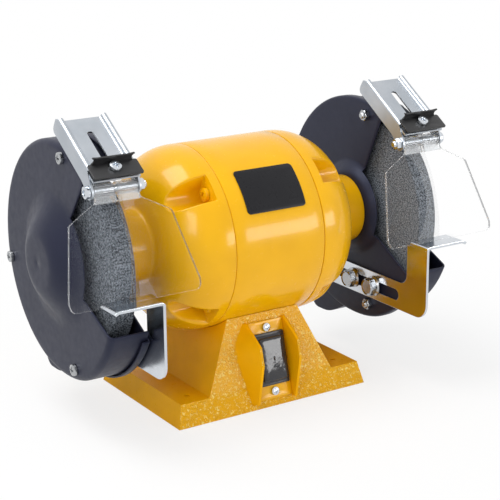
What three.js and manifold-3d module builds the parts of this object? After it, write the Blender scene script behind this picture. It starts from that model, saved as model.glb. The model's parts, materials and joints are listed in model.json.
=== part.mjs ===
// Bench grinder with two 150 mm wheels. Millimetres, +Z up.
// The origin is on the bench, under the middle of the motor.
// The shaft runs along X and the work side faces -Y.
import * as THREE from 'three';
import { mergeVertices } from 'three/addons/utils/BufferGeometryUtils.js';
import Module from 'manifold-3d';

const wasm = await Module();
wasm.setup();

// ---------------------------------------------------------------- driving dimensions
const gap = 0.3; // seating gap between neighbouring pieces
const over = 1; // how far a cutting shape runs past the face that it opens
const sheet = 1.5; // pressed steel of the guards and brackets
const fineSides = 40; // sides of a large round piece
const hollowSides = 32; // sides of a hollow inside a round piece
const outlineSteps = 38; // steps around the rim of a guard
const boltSides = 16; // sides of a fastener's head
const shankSides = 12; // sides of a shank and of its hole

const saddleHeight = 55; // lowest line of the motor above the bench
const wheelDiameter = 150;
const wheelWidth = 16;
const wheelBore = 12.7;
const wheelMid = 130; // middle of a wheel from the middle of the motor

const bandRadius = 69.5; // outside of the stator housing
const bandWidth = 76;
const bandWall = 3.5;
const bellCylinder = 4; // straight part of an end bell next to the band
const bellRound = 38; // how far the rounding of an end bell reaches along the shaft
const bellFaceRadius = 35; // flat end face of a bell, where its rounding ends
const bellWall = 4;
const neckRadius = 26.6; // bearing neck of a bell
const neckFillet = 3;
const neckEndWall = 4;

const coreLength = 50;
const coreBore = 36; // radius of the stator bore
const airGap = 0.5;
const slotCount = 8;
const slotCircle = 43; // radius of the circle of winding slots
const slotRadius = 3.6;
const windingOverhang = 11;
const windingThickness = 14; // radial thickness of an end winding
const boltCircle = 59; // radius of the circle of through bolts
const throughBoltRadius = 2.5;
const throughHeadRadius = 5;
const throughHeadHeight = 3.5;
const pocketRadius = 8.5; // scooped pocket of a bell around a bolt end
const pocketDepth = 8; // pocket floor from the band
const pocketWall = 3;

const rotorShaftRadius = 8.5;
const journalRadius = 7.5;
const shaftHoleRadius = 9.5; // hole of a back plate around the shaft
const bearingRadius = 17.5;
const bearingWidth = 11;

const flangeRadius = 25;
const flangeThickness = 5;
const wheelNutRadius = 11; // across the corners of the hexagon
const wheelNutHeight = 8;
const shaftTip = 4; // thread standing proud of the wheel nut

const guardRadius = 86; // outside of the cover's rim
const guardInnerGap = 6; // wheel to back plate
const guardOuterGap = 6.7; // wheel to cover
const guardEdge = 4.5; // rounding of the cover's edge
const lipGap = 1; // cover's rim to the lip of the back plate
const lipHeight = 5;
const swell = 2.5; // the rim swells by this much below the front
const swellStart = -95; // angles between which it grows
const swellFull = -60;
const rimStart = -20; // the outline starts and closes inside the front opening
const rimClose = -15;
const coverLower = -24; // angles of the cover's front opening, up from the front
const coverUpper = 53;
const coverCoreRadius = 46; // the opening stops at this radius
const backLower = -29; // angles of the back plate's opening
const backUpper = 65;
const backCoreRadius = 35;
const domeRadius = 49; // raised dome of the cover over the wheel nut
const domeTopRadius = 25;
const domeRound = 5; // rounding of its foot and of its top
const domeFoot = 0.12; // shares of its height that the foot, the brow and the rim take
const domeBrow = 0.2;
const domeRim = 0.05;
const domeClearance = 3; // shaft tip to the inside of the dome
const collarRadius = 38; // pressed collar of the back plate around the neck
const collarTopRadius = 31;
const collarDepth = 7;
const guardScrewCircle = 79;
const guardScrewAngles = [77, -72, 192];
const guardScrewRadius = 2.5;
const guardScrewHead = 4.3;
const guardScrewHeadHeight = 3;
const guardNutHeight = 4;
const guardNutRadius = 4.6;

const chuteSpan = 14.7; // dust chute along the shaft, from the edge of the rim
const chuteDrop = 99; // floor of the chute below the shaft axis
const chuteFloorStart = 33; // the floor starts and ends here, behind the axis
const chuteFloorEnd = 55;
const chuteMouthHeight = 27;
const chuteMouthLean = 8; // the mouth's upper edge stands this far behind its lower one
const chuteRound = 6;
const chuteRoot = 72; // the chute is drawn from this radius, inside the rim
const chuteFrontAngle = -95; // where the chute leaves the rim, below and behind
const chuteRearAngle = -127;

const restThickness = 2.1;
const restDrop = 11; // working face of the tool rest below the shaft axis
const restFront = 97.5; // its front edge in front of the axis
const restDepth = 21; // front edge to the wheel side
const restReach = 38; // length of the working face along the shaft
const restLegWidth = 24;
const restArmTop = 46.5; // arm of the tool rest, below the shaft axis
const restArmBottom = 69;
const restArmRear = 24;
const restCornerRadius = 12;
const restFillet = 8;
const slotFront = 64; // ends of the arm's slot, in front of the axis and behind it
const slotRear = 14;
const restBoltRadius = 4;
const restBoltPlaces = [6, 33]; // in front of the axis
const restBoltHex = 7.4;
const restBoltHexHeight = 5.5;
const restWasherRadius = 8;
const restWasherThickness = 2;
const restNutHeight = 3.6;

const bracketAngle = 33; // the shield bracket leans back by this much from level
const bracketWidth = 37;
const bracketRise = 13; // top of the bracket's ridges above its foot
const webDrop = 3; // the web lies this far below the ridges
const cheekLap = 0.5; // the cheeks reach this far below the foot
const cheekCorner = 3;
const bracketTop = 43; // upper end of the bracket from its middle
const ridgeEnd = 10; // lower ends of the ridges and of the web, below its middle
const webEnd = 19;
const bracketSlotWidth = 5.2;
const bracketSlotTop = 27; // ends of the slot, above the middle and below it
const bracketSlotBottom = 16.5;
const footLength = 16;
const footReach = 10; // the foot beyond its bolt
const bracketBoltOffset = 4; // from the middle of the wheel, outwards
const boltTip = 2; // thread beyond a nut
const smallBoltRadius = 2.3;
const smallHeadRadius = 4.2;
const smallHeadHeight = 2.8;
const smallNutHeight = 3;

const hingeOffset = 18; // hinge axis below the bracket's middle, along it
const hingeDrop = 13.3; // and below its ridges
const earRadius = 5.5;
const barrelRadius = 4.6;
const hingeBoltRadius = 2.4;
const hingeNutRadius = 4.4;
const hingeNutHeight = 3.6;

const shieldLean = 21; // eye shield from the vertical
const shieldThickness = 2.5;
const shieldOffset = 1.5; // rear face of the plate in front of the hinge axis
const shieldLength = 77;
const shieldNeckLength = 8;
const shieldShoulder = 20; // where the flare ends, below the hinge
const shieldShoulderHalf = 38.5;
const shieldHalf = 49.5;
const shieldCorner = 9;
const knuckleGap = 2;

const deflectorThickness = 1.2;
const deflectorBack = 8; // its flange, its screw and its front edge, below the bracket's middle
const deflectorScrewAt = 13;
const deflectorFront = 21;
const deflectorFlange = 6;
const deflectorFlangeWidth = 32;
const deflectorWaist = 28;
const deflectorNeck = 2; // height at which the flange is narrowest

const baseWidth = 166;
const baseDepth = 120;
const flangeHeight = 17.3;
const flangeTopWidth = 158;
const faceSlope = 0.25; // the front and rear faces lean back by this much per mm of height
const pedestalFootWidth = 109; // at the top of the flange
const pedestalHeadWidth = 58; // at the top of the pedestal
const saddleRise = 19; // top of the pedestal above the lowest line of the motor
const castWall = 5;
const saddleWall = 7; // casting under the lowest line of the motor
const benchHoleX = 66;
const benchHoleY = 42;
const benchHoleRadius = 3.2;
const benchBossRadius = 7;
const baseBoltRadius = 4; // bolt that holds the motor on its saddle
const baseBoltHead = 6.5;
const baseBoltHeadHeight = 5;
const ribThickness = 5; // low rib across the open underside
const ribHeight = 12;

const finInner = 15.5; // half the clear width between the switch fins
const finThickness = 2;
const finDraft = 0.49; // the outer side of a fin spreads by this much per mm
// Edge of a switch fin: height, reach out of the face.
const finEdge = [[5, 4.8], [20, 11.2], [38, 19], [51, 18.8], [58, 10], [64, 2]];

const switchPlateThickness = 1.5;
const switchPlateBottom = 6;
const switchPlateTop = 65;
const switchMiddle = 36.3; // middle of the rocker, up the slope
const switchFrameWidth = 27;
const switchFrameLength = 39.6;
const switchFrameHeight = 2;
const switchBodyWidth = 24;
const switchBodyLength = 36;
const switchBodyDepth = 22;
const rockerWidth = 18.4;
const rockerLength = 28;
const rockerTilt = 8;
const rockerPlay = 1;
const rockerRecess = 1.4; // its face below the frame's
const rockerDish = 1.6; // valley between its two faces
const rockerEdge = 5; // thickness at its ends and in its middle
const rockerMiddle = 8;
const rockerPivot = 3.5; // pivot below its face
const wellDepth = 12;
const bootWall = 0.8;
const bootHeight = 3.4;
const bootPlayX = 1.6; // boot beyond the rocker, on each side
const bootPlayY = 2.4;
const bootFlange = 1.5;
const bootDraft = 1;
const bootInset = 0.6;
const switchScrewPlaces = [11.5, 60];
const switchScrewRadius = 1.8;
const switchScrewHead = 3.2;
const switchScrewHeadHeight = 2;
const switchScrewLength = 8;

const capacitorRadius = 13;
const capacitorLength = 42;
const capacitorY = 18;
const glandX = 26; // cable entry on the rear face
const glandUp = 26;
const glandRadius = 8;
const glandBore = 4;
const glandLength = 14;
const glandFlange = 11;
const glandFlangeThickness = 2.5;
const glandDepth = 7; // gland behind the face

const labelWidth = 50;
const labelThickness = 0.4;
const labelLower = 23.7; // angles of the label's edges, up from the front
const labelUpper = 52.3;
const labelCorner = 3;

// ---------------------------------------------------------------- sizes that follow
const shaftHeight = saddleHeight + bandRadius;
const wheelRadius = wheelDiameter / 2;
const bandHalf = bandWidth / 2;
const wheelInner = wheelMid - wheelWidth / 2;
const wheelOuter = wheelMid + wheelWidth / 2;
const wheelSeatRadius = wheelBore / 2 - gap;
const shaftShoulder = wheelInner - 2 * gap - flangeThickness;
const outerFlangeStart = wheelOuter + gap;
const wheelNutStart = outerFlangeStart + flangeThickness + gap;
const shaftEnd = wheelNutStart + wheelNutHeight + shaftTip;
const backOuter = wheelInner - guardInnerGap; // back plate, wheel side
const backInner = backOuter - sheet; // back plate, motor side
const coverInner = wheelOuter + guardOuterGap;
const coverOuter = coverInner + sheet;
const coverRimStart = backOuter + gap;
const domeInner = shaftEnd + domeClearance;
const domeOuter = domeInner + sheet;
const backRadius = guardRadius + lipGap + sheet;
const collarFace = backInner - collarDepth;
const neckEnd = collarFace - gap;
const bearingEnd = neckEnd - neckEndWall - gap;
const bearingStart = bearingEnd - bearingWidth;
const bellStart = bandHalf + gap;
const bellCorner = bellStart + bellCylinder;
const bellEnd = bellCorner + bellRound;
const coreRadius = bandRadius - bandWall - gap;
const rotorRadius = coreBore - airGap;
const pocketFloor = bandHalf + pocketDepth;
const restOuter = backInner - gap; // tool rest arm, face against the back plate
const restInner = restOuter - restThickness;
const slotCentre = -(restArmTop + restArmBottom) / 2; // from the shaft axis
const slotHalf = restBoltRadius + gap;
const footBottom = guardRadius + gap;
const footTop = footBottom + sheet;
const ridgeHeight = footBottom + bracketRise;
const cheekBottom = footBottom - cheekLap;
const webTop = ridgeHeight - webDrop;
const webBottom = webTop - sheet;
const hingeAlong = -hingeOffset; // hinge axis in the bracket's own frame
const hingeUp = ridgeHeight - hingeDrop;
const bracketBoltX = wheelMid + bracketBoltOffset;
const bracketHalf = bracketWidth / 2;
const barrelHalf = bracketHalf - sheet - gap;
const faceLean = Math.atan(faceSlope);
const pedestalTop = saddleHeight + saddleRise;
const cavityTop = saddleHeight - saddleWall;

// ---------------------------------------------------------------- materials
function finish(color, roughness, metalness = 0) {
  return new THREE.MeshStandardMaterial({ color, roughness, metalness });
}
const yellowPaint = finish(0xf0b000, 0.25);
const yellowCast = finish(0xe8a80a, 0.4);
const guardPaint = finish(0x2e2e38, 0.45);
const abrasive = finish(0x6f7478, 0.95);
const zinc = finish(0xc8ccd0, 0.25, 1);
const steel = finish(0xb8babc, 0.35, 1);
const blackSteel = finish(0x17171a, 0.4);
const clearPlastic = finish(0xf2f6f8, 0.1);
const blackPlastic = finish(0x1b1b1d, 0.4);
const smokyPlastic = finish(0x55585c, 0.15);
const coreSteel = finish(0x7b7d80, 0.5, 1);
const copper = finish(0xb06a35, 0.4, 1);
const capacitorShell = finish(0xd9d9d6, 0.5);
const rubber = finish(0x202022, 0.8);
const labelFilm = finish(0x26262a, 0.4);

// ---------------------------------------------------------------- solids
function signedVolume(points, faces) {
  let volume = 0;
  const a = new THREE.Vector3();
  const b = new THREE.Vector3();
  const c = new THREE.Vector3();
  for (let i = 0; i < faces.length; i += 3) {
    a.fromArray(points, 3 * faces[i]);
    b.fromArray(points, 3 * faces[i + 1]);
    c.fromArray(points, 3 * faces[i + 2]);
    volume += a.dot(b.cross(c)) / 6;
  }
  return volume;
}

// A closed geometry becomes a solid: shared corners are merged and the faces are turned outwards.
function toSolid(source) {
  const geometry = source.clone();
  geometry.deleteAttribute('normal');
  geometry.deleteAttribute('uv');
  const merged = mergeVertices(geometry, 1e-4);
  const points = merged.attributes.position.array;
  const faces = [];
  for (let i = 0; i < merged.index.count; i += 3) {
    const [a, b, c] = [0, 1, 2].map((k) => merged.index.getX(i + k));
    if (a !== b && b !== c && c !== a) faces.push(a, b, c);
  }
  if (signedVolume(points, faces) < 0) faces.reverse();
  const mesh = { numProp: 3, vertProperties: new Float32Array(points), triVerts: new Uint32Array(faces) };
  return new wasm.Manifold(new wasm.Mesh(mesh));
}

function toGeometry(solid) {
  const mesh = solid.getMesh();
  const geometry = new THREE.BufferGeometry();
  geometry.setAttribute('position', new THREE.BufferAttribute(new Float32Array(mesh.vertProperties), 3));
  geometry.setIndex(new THREE.BufferAttribute(new Uint32Array(mesh.triVerts), 1));
  const flat = geometry.toNonIndexed();
  flat.computeVertexNormals();
  return flat;
}

function join(...solids) {
  return solids.reduce((whole, piece) => whole.add(piece));
}

function cut(body, ...tools) {
  return tools.reduce((rest, tool) => rest.subtract(tool), body);
}

function block(x0, x1, y0, y1, z0, z1) {
  const box = new THREE.BoxGeometry(x1 - x0, y1 - y0, z1 - z0);
  return toSolid(box.translate((x0 + x1) / 2, (y0 + y1) / 2, (z0 + z1) / 2));
}

// A rod along X, centred on (y, z).
function rodX(radius, x0, x1, y = 0, z = 0, sides = shankSides) {
  const rod = new THREE.CylinderGeometry(radius, radius, x1 - x0, sides);
  return toSolid(rod.rotateZ(-Math.PI / 2).translate((x0 + x1) / 2, y, z));
}

// A rod along Z, centred on (x, y).
function rodZ(radius, z0, z1, x = 0, y = 0, sides = shankSides) {
  const rod = new THREE.CylinderGeometry(radius, radius, z1 - z0, sides);
  return toSolid(rod.rotateX(Math.PI / 2).translate(x, y, (z0 + z1) / 2));
}

// A closed profile of [x, radius] pairs turned about the X axis.
function turned(profile, sides = fineSides) {
  const points = [...profile, profile[0]].map(([x, radius]) => new THREE.Vector2(radius, x));
  return toSolid(new THREE.LatheGeometry(points, sides).rotateZ(-Math.PI / 2));
}

function ring(outer, inner, x0, x1, sides = fineSides) {
  return turned([[x0, inner], [x0, outer], [x1, outer], [x1, inner]], sides);
}

// A shape drawn as [y, height from the shaft], extruded from x0 to x1.
function sideExtrusion(points, x0, x1, holes = []) {
  const shape = new THREE.Shape(points.map(([y, z]) => new THREE.Vector2(y, z)));
  shape.holes = holes.map((hole) => new THREE.Path(hole.map(([y, z]) => new THREE.Vector2(y, z))));
  const geometry = new THREE.ExtrudeGeometry(shape, { depth: x1 - x0, bevelEnabled: false });
  const basis = new THREE.Matrix4().makeBasis(
    new THREE.Vector3(0, 1, 0),
    new THREE.Vector3(0, 0, 1),
    new THREE.Vector3(1, 0, 0),
  );
  return toSolid(geometry.applyMatrix4(basis).translate(x0, 0, 0));
}

// A shape drawn as [x, y], extruded from z0 to z1.
function plate(points, z0, z1) {
  const shape = new THREE.Shape(points.map(([x, y]) => new THREE.Vector2(x, y)));
  const geometry = new THREE.ExtrudeGeometry(shape, { depth: z1 - z0, bevelEnabled: false });
  return toSolid(geometry.translate(0, 0, z0));
}

// Rings of equally many [x, y, z] points, joined side by side and closed with flat ends.
function loft(rings) {
  const count = rings[0].length;
  const faces = [];
  for (let r = 0; r + 1 < rings.length; r += 1) {
    for (let i = 0; i < count; i += 1) {
      const next = (i + 1) % count;
      const [a, b] = [r * count + i, r * count + next];
      faces.push(a, b, b + count, a, b + count, a + count);
    }
  }
  const last = (rings.length - 1) * count;
  for (let i = 1; i + 1 < count; i += 1) {
    faces.push(0, i + 1, i);
    faces.push(last, last + i, last + i + 1);
  }
  const geometry = new THREE.BufferGeometry();
  geometry.setAttribute('position', new THREE.Float32BufferAttribute(rings.flat(2), 3));
  geometry.setIndex(faces);
  return toSolid(geometry);
}

// Four upright corners of a rectangle centred on the Z axis, from half its width and half its depth.
function rectangle(halfX, halfY, z) {
  return [[-halfX, -halfY, z], [halfX, -halfY, z], [halfX, halfY, z], [-halfX, halfY, z]];
}

function hexRod(radius, x0, x1, y, z) {
  return rodX(radius, x0, x1, y, z, 6);
}

const radians = THREE.MathUtils.degToRad;

// Pieces of the shield bracket are drawn with X across it, Y along it and Z away from the shaft axis.
function onBracket(solid) {
  return solid.rotate([bracketAngle, 0, 0]);
}

// A point of the side view at an angle up from the front: [y, height from the shaft].
function polar(radius, degrees) {
  return [-radius * Math.cos(radians(degrees)), radius * Math.sin(radians(degrees))];
}

function arc(radius, from, to, steps) {
  const points = [];
  for (let i = 0; i <= steps; i += 1) points.push(polar(radius, from + ((to - from) * i) / steps));
  return points;
}

function rounded(points, centre, radius, from, to, steps = 5) {
  for (let i = 0; i <= steps; i += 1) {
    const angle = radians(from + ((to - from) * i) / steps);
    points.push([centre[0] + radius * Math.cos(angle), centre[1] + radius * Math.sin(angle)]);
  }
}

// ---------------------------------------------------------------- motor
function statorHousing() {
  const band = ring(bandRadius, bandRadius - bandWall, -bandHalf, bandHalf);
  return cut(band, rodZ(baseBoltRadius + gap, -bandRadius - over, -bandRadius + bandWall + over));
}

// Rounded shoulder of a bell between its straight part and its end face.
function shoulder(cornerX, edgeRadius, reach, faceRadius, steps) {
  const points = [];
  for (let i = 0; i <= steps; i += 1) {
    const angle = (Math.PI / 2) * (i / steps);
    points.push([
      cornerX + reach * Math.sin(angle),
      faceRadius + (edgeRadius - faceRadius) * Math.cos(angle),
    ]);
  }
  return points;
}

function bellHull() {
  return turned([
    [bellStart, 0],
    [bellStart, bandRadius],
    ...shoulder(bellCorner, bandRadius, bellRound, bellFaceRadius, 7),
    [bellEnd, neckRadius + neckFillet],
    [bellEnd + neckFillet, neckRadius],
    [neckEnd, neckRadius],
    [neckEnd, 0],
  ]);
}

function bellHollow() {
  return turned([
    [bellStart - over, 0],
    [bellStart - over, bandRadius - bellWall],
    ...shoulder(bellCorner, bandRadius - bellWall, bellRound - bellWall, bellFaceRadius - bellWall, 4),
    [bellEnd - bellWall, bearingRadius + gap],
    [bearingEnd + gap, bearingRadius + gap],
    [bearingEnd + gap, journalRadius + gap],
    [neckEnd + over, journalRadius + gap],
    [neckEnd + over, 0],
  ], hollowSides);
}

// A pocket is a round hole that stays open towards the outside of the bell.
function pocketShape(radius, x0, x1, degrees) {
  const round = rodX(radius, x0, x1, boltCircle, 0);
  const mouth = block(x0, x1, boltCircle, bandRadius + 5, -radius, radius);
  return join(round, mouth).rotate([degrees, 0, 0]);
}

const boltAngles = [45, 135, 225, 315];

function endBell() {
  const hull = bellHull();
  const posts = boltAngles.map((angle) => (
    pocketShape(pocketRadius + pocketWall, bellStart, bellEnd, angle).intersect(hull)
  ));
  const body = join(cut(hull, bellHollow()), ...posts);
  const pockets = boltAngles.map((angle) => pocketShape(pocketRadius, pocketFloor, bellEnd + over, angle));
  const holes = boltAngles.map((angle) => (
    rodX(throughBoltRadius + gap, bellStart - over, pocketFloor + over, boltCircle, 0).rotate([angle, 0, 0])
  ));
  return cut(body, ...pockets, ...holes);
}

function throughBolt(angle) {
  const shank = rodX(throughBoltRadius, -pocketFloor - gap, pocketFloor + gap, boltCircle, 0);
  const headStart = pocketFloor + gap;
  const head = rodX(throughHeadRadius, -headStart - throughHeadHeight, -headStart, boltCircle, 0, boltSides);
  const nut = hexRod(throughHeadRadius, headStart, headStart + throughHeadHeight, boltCircle, 0);
  return join(shank, head, nut).rotate([angle, 0, 0]);
}

function slotRods(radius, half) {
  return Array.from({ length: slotCount }, (_, i) => (
    rodX(radius, -half, half, slotCircle, 0, 8).rotate([22.5 + (360 * i) / slotCount, 0, 0])
  ));
}

function statorCore() {
  const core = ring(coreRadius, coreBore, -coreLength / 2, coreLength / 2);
  const boltHoles = boltAngles.map((angle) => (
    rodX(throughBoltRadius + gap, -coreLength, coreLength, boltCircle, 0).rotate([angle, 0, 0])
  ));
  return cut(core, ...boltHoles, ...slotRods(slotRadius, coreLength));
}

function statorWinding() {
  const start = coreLength / 2 + gap;
  const end = start + windingOverhang;
  const inner = slotCircle - windingThickness / 2;
  const outer = slotCircle + windingThickness / 2;
  const rings = [ring(outer, inner, start, end, 32), ring(outer, inner, -end, -start, 32)];
  return join(...rings, ...slotRods(slotRadius - gap, start + over));
}

function rotorCore() {
  return ring(rotorRadius, rotorShaftRadius + gap, -coreLength / 2, coreLength / 2);
}

function shaft() {
  const right = [
    [bearingStart - gap, rotorShaftRadius],
    [bearingStart - gap, journalRadius],
    [shaftShoulder, journalRadius],
    [shaftShoulder, wheelSeatRadius],
    [shaftEnd, wheelSeatRadius],
    [shaftEnd, 0],
  ];
  const left = right.map(([x, radius]) => [-x, radius]).reverse();
  return turned([...left, ...right], 32);
}

function bearing() {
  return ring(bearingRadius, journalRadius + gap, bearingStart, bearingEnd, 32);
}

function labelPlate() {
  const inner = bandRadius + gap;
  const outer = inner + labelThickness;
  const band = sideExtrusion(
    [...arc(inner, labelLower, labelUpper, 10), ...arc(outer, labelUpper, labelLower, 10)],
    -labelWidth / 2,
    labelWidth / 2,
  );
  const halfLength = (inner * radians(labelUpper - labelLower)) / 2;
  const corner = labelCorner;
  const outline = [];
  rounded(outline, [labelWidth / 2 - corner, halfLength - corner], corner, 0, 90);
  rounded(outline, [corner - labelWidth / 2, halfLength - corner], corner, 90, 180);
  rounded(outline, [corner - labelWidth / 2, corner - halfLength], corner, 180, 270);
  rounded(outline, [labelWidth / 2 - corner, corner - halfLength], corner, 270, 360);
  const middle = (labelLower + labelUpper) / 2;
  const stamp = plate(outline, 0, outer + over).rotate([90 - middle, 0, 0]);
  return band.intersect(stamp);
}

// ---------------------------------------------------------------- wheels
function wheel() {
  return ring(wheelRadius, wheelBore / 2, wheelInner, wheelOuter);
}

function wheelFlange(x0) {
  return ring(flangeRadius, wheelBore / 2, x0, x0 + flangeThickness, 32);
}

function wheelNut() {
  const nut = hexRod(wheelNutRadius, wheelNutStart, wheelNutStart + wheelNutHeight, 0, 0);
  return cut(nut, rodX(wheelBore / 2, wheelNutStart - over, shaftEnd, 0, 0, 32));
}

// ---------------------------------------------------------------- guards
// Outline of a guard, inset evenly: a circle that swells below the front.
function guardOutline(radius) {
  const points = [];
  for (let i = 0; i <= outlineSteps; i += 1) {
    const angle = rimStart + ((rimClose - 360 - rimStart) * i) / outlineSteps;
    points.push(polar(radius + swell * THREE.MathUtils.smoothstep(angle, swellStart, swellFull), angle));
  }
  return points;
}

function guardDisc(radius, x0, x1) {
  return sideExtrusion(guardOutline(radius), x0, x1);
}

function frontOpening(coreRadius, lower, upper) {
  const far = 3 * guardRadius;
  const points = [
    ...arc(coreRadius, lower, upper, 14),
    polar(far, upper),
    polar(far, (lower + upper) / 2),
    polar(far, lower),
  ];
  return sideExtrusion(points, collarFace - over, domeOuter + over);
}

// The cover's pan with a rounded edge, as stacked outlines that shrink towards the face.
function coverPan(radius, x0, x1, edge, steps) {
  const rings = [];
  const outline = (r, x) => guardOutline(r).map(([y, z]) => [x, y, z]);
  rings.push(outline(radius, x0));
  for (let i = 0; i <= steps; i += 1) {
    const angle = (Math.PI / 2) * (i / steps);
    rings.push(outline(radius - edge * (1 - Math.cos(angle)), x1 - edge * (1 - Math.sin(angle))));
  }
  return loft(rings);
}

function dome(radius, topRadius, x0, x1) {
  const rise = x1 - x0;
  return turned([
    [x0 - over, 0],
    [x0 - over, radius],
    [x0, radius],
    [x0 + domeFoot * rise, radius - domeRound],
    [x1 - domeBrow * rise, topRadius + domeRound],
    [x1 - domeRim * rise, topRadius],
    [x1, topRadius - domeRound],
    [x1, 0],
  ], hollowSides);
}

// Side of the dust chute: from inside the rim, down to its floor and out to its mouth. Its side walls are
// rounded at the corners; the hollow is drawn longer than the walls, so that it opens the mouth.
function chuteShape(grow, longer, x0, x1) {
  const floor = -chuteDrop;
  const ceiling = floor + chuteMouthHeight;
  const outline = [
    polar(chuteRoot, chuteFrontAngle),
    polar(guardRadius, chuteFrontAngle),
    [chuteFloorStart, floor],
    [chuteFloorEnd + longer, floor],
    [chuteFloorEnd + chuteMouthLean + longer, ceiling],
    polar(guardRadius, chuteRearAngle),
    polar(chuteRoot, chuteRearAngle),
  ];
  const shape = new wasm.CrossSection([outline])
    .offset(-chuteRound, 'Miter')
    .offset(chuteRound + grow, 'Round', 2, 24);
  return shape.extrude(x1 - x0).rotate([90, 0, 90]).translate([x0, 0, 0]);
}

function guardCover() {
  const chuteEnd = coverRimStart + chuteSpan;
  const outside = join(
    coverPan(guardRadius, coverRimStart, coverOuter, guardEdge, 3),
    dome(domeRadius, domeTopRadius, coverOuter, domeOuter),
    chuteShape(0, 0, coverRimStart, chuteEnd),
  );
  const inside = join(
    coverPan(guardRadius - sheet, coverRimStart - over, coverInner, guardEdge - sheet, 1),
    dome(domeRadius - sheet, domeTopRadius - sheet, coverInner, domeInner),
    chuteShape(-sheet, 2 * chuteRound, coverRimStart + sheet, chuteEnd - sheet),
  );
  const holes = guardScrewAngles.map((angle) => {
    const [y, z] = polar(guardScrewCircle, angle);
    return rodX(guardScrewRadius + gap, coverInner - over, coverOuter + over, y, z);
  });
  const boltHole = onBracket(
    rodZ(smallBoltRadius + gap, guardRadius - 3 * sheet, guardRadius + over, bracketBoltX, 0),
  );
  return cut(outside, inside, frontOpening(coverCoreRadius, coverLower, coverUpper), ...holes, boltHole);
}

function collar(radius, topRadius, x0, x1) {
  return turned([[x0, 0], [x0, topRadius], [x1, radius], [x1 + sheet / 2, radius], [x1 + sheet / 2, 0]]);
}

function guardBack() {
  const outside = join(
    guardDisc(backRadius, backInner, backOuter + lipHeight),
    collar(collarRadius, collarTopRadius, collarFace, backInner),
  );
  const inside = join(
    guardDisc(backRadius - sheet, backOuter, backOuter + lipHeight + over),
    collar(collarRadius - sheet, collarTopRadius - sheet, collarFace + sheet, backOuter),
  );
  const screwHoles = guardScrewAngles.map((angle) => {
    const [y, z] = polar(guardScrewCircle, angle);
    return rodX(guardScrewRadius + gap, backInner - over, backOuter + over, y, z);
  });
  const boltHoles = restBoltPlaces.map((place) => (
    rodX(restBoltRadius + gap, backInner - over, backOuter + over, -place, slotCentre)
  ));
  const centreHole = rodX(shaftHoleRadius, collarFace - over, backOuter, 0, 0, 32);
  const opening = frontOpening(backCoreRadius, backLower, backUpper);
  const chuteNotch = chuteShape(gap, 0, backOuter, backOuter + lipHeight + over);
  return cut(outside, inside, opening, centreHole, chuteNotch, ...screwHoles, ...boltHoles);
}

function guardScrew(angle) {
  const [y, z] = polar(guardScrewCircle, angle);
  const headStart = coverOuter + gap;
  const nutEnd = backInner - gap;
  const nutStart = nutEnd - guardNutHeight;
  return join(
    rodX(guardScrewHead, headStart, headStart + guardScrewHeadHeight, y, z, boltSides),
    rodX(guardScrewRadius, nutStart - boltTip, headStart + over, y, z),
    hexRod(guardNutRadius, nutStart, nutEnd, y, z),
  );
}

// ---------------------------------------------------------------- tool rests
function restOutline() {
  const front = -restFront;
  const armTop = -restArmTop;
  const armBottom = -restArmBottom;
  const legRear = front + restLegWidth;
  const points = [[front, -restDrop], [front, armBottom + restCornerRadius]];
  rounded(points, [front + restCornerRadius, armBottom + restCornerRadius], restCornerRadius, 180, 270);
  points.push([restArmRear, armBottom], [restArmRear, armTop], [legRear + restFillet, armTop]);
  rounded(points, [legRear + restFillet, armTop + restFillet], restFillet, 270, 180);
  points.push([legRear, -restDrop]);
  return points;
}

function restSlot() {
  const points = [];
  rounded(points, [slotHalf - slotFront, slotCentre], slotHalf, 90, 270, 6);
  rounded(points, [slotRear - slotHalf, slotCentre], slotHalf, -90, 90, 6);
  return points;
}

function toolRest() {
  const arm = sideExtrusion(restOutline(), restInner, restOuter, [restSlot()]);
  const top = -restDrop;
  const rear = restDepth - restFront;
  const legRear = restLegWidth - restFront;
  const face = block(restInner, restInner + restReach, -restFront, rear, top - restThickness, top);
  const heel = block(restInner, restOuter, rear - over, legRear, top - restThickness, top);
  return join(arm, face, heel);
}

function restBolt(place) {
  const y = -place;
  const z = slotCentre;
  const washerEnd = restInner - gap;
  const washerStart = washerEnd - restWasherThickness;
  return join(
    rodX(restWasherRadius, washerStart, washerEnd, y, z, boltSides),
    hexRod(restBoltHex, washerStart - restBoltHexHeight, washerStart + over, y, z),
    rodX(restBoltRadius, washerStart, backOuter + gap + restNutHeight, y, z),
    hexRod(restBoltHex, backOuter + gap, backOuter + gap + restNutHeight, y, z),
  );
}

// ---------------------------------------------------------------- shield bracket
function cheekOutline() {
  const points = [
    [bracketTop, cheekBottom + cheekCorner],
    [bracketTop - cheekCorner, cheekBottom],
    [hingeAlong + 2 * earRadius, cheekBottom],
  ];
  rounded(points, [hingeAlong, hingeUp], earRadius, 285, 100, 8);
  points.push(
    [-ridgeEnd, ridgeHeight],
    [bracketTop - cheekCorner, ridgeHeight],
    [bracketTop, ridgeHeight - cheekCorner],
  );
  return points.reverse();
}

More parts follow.
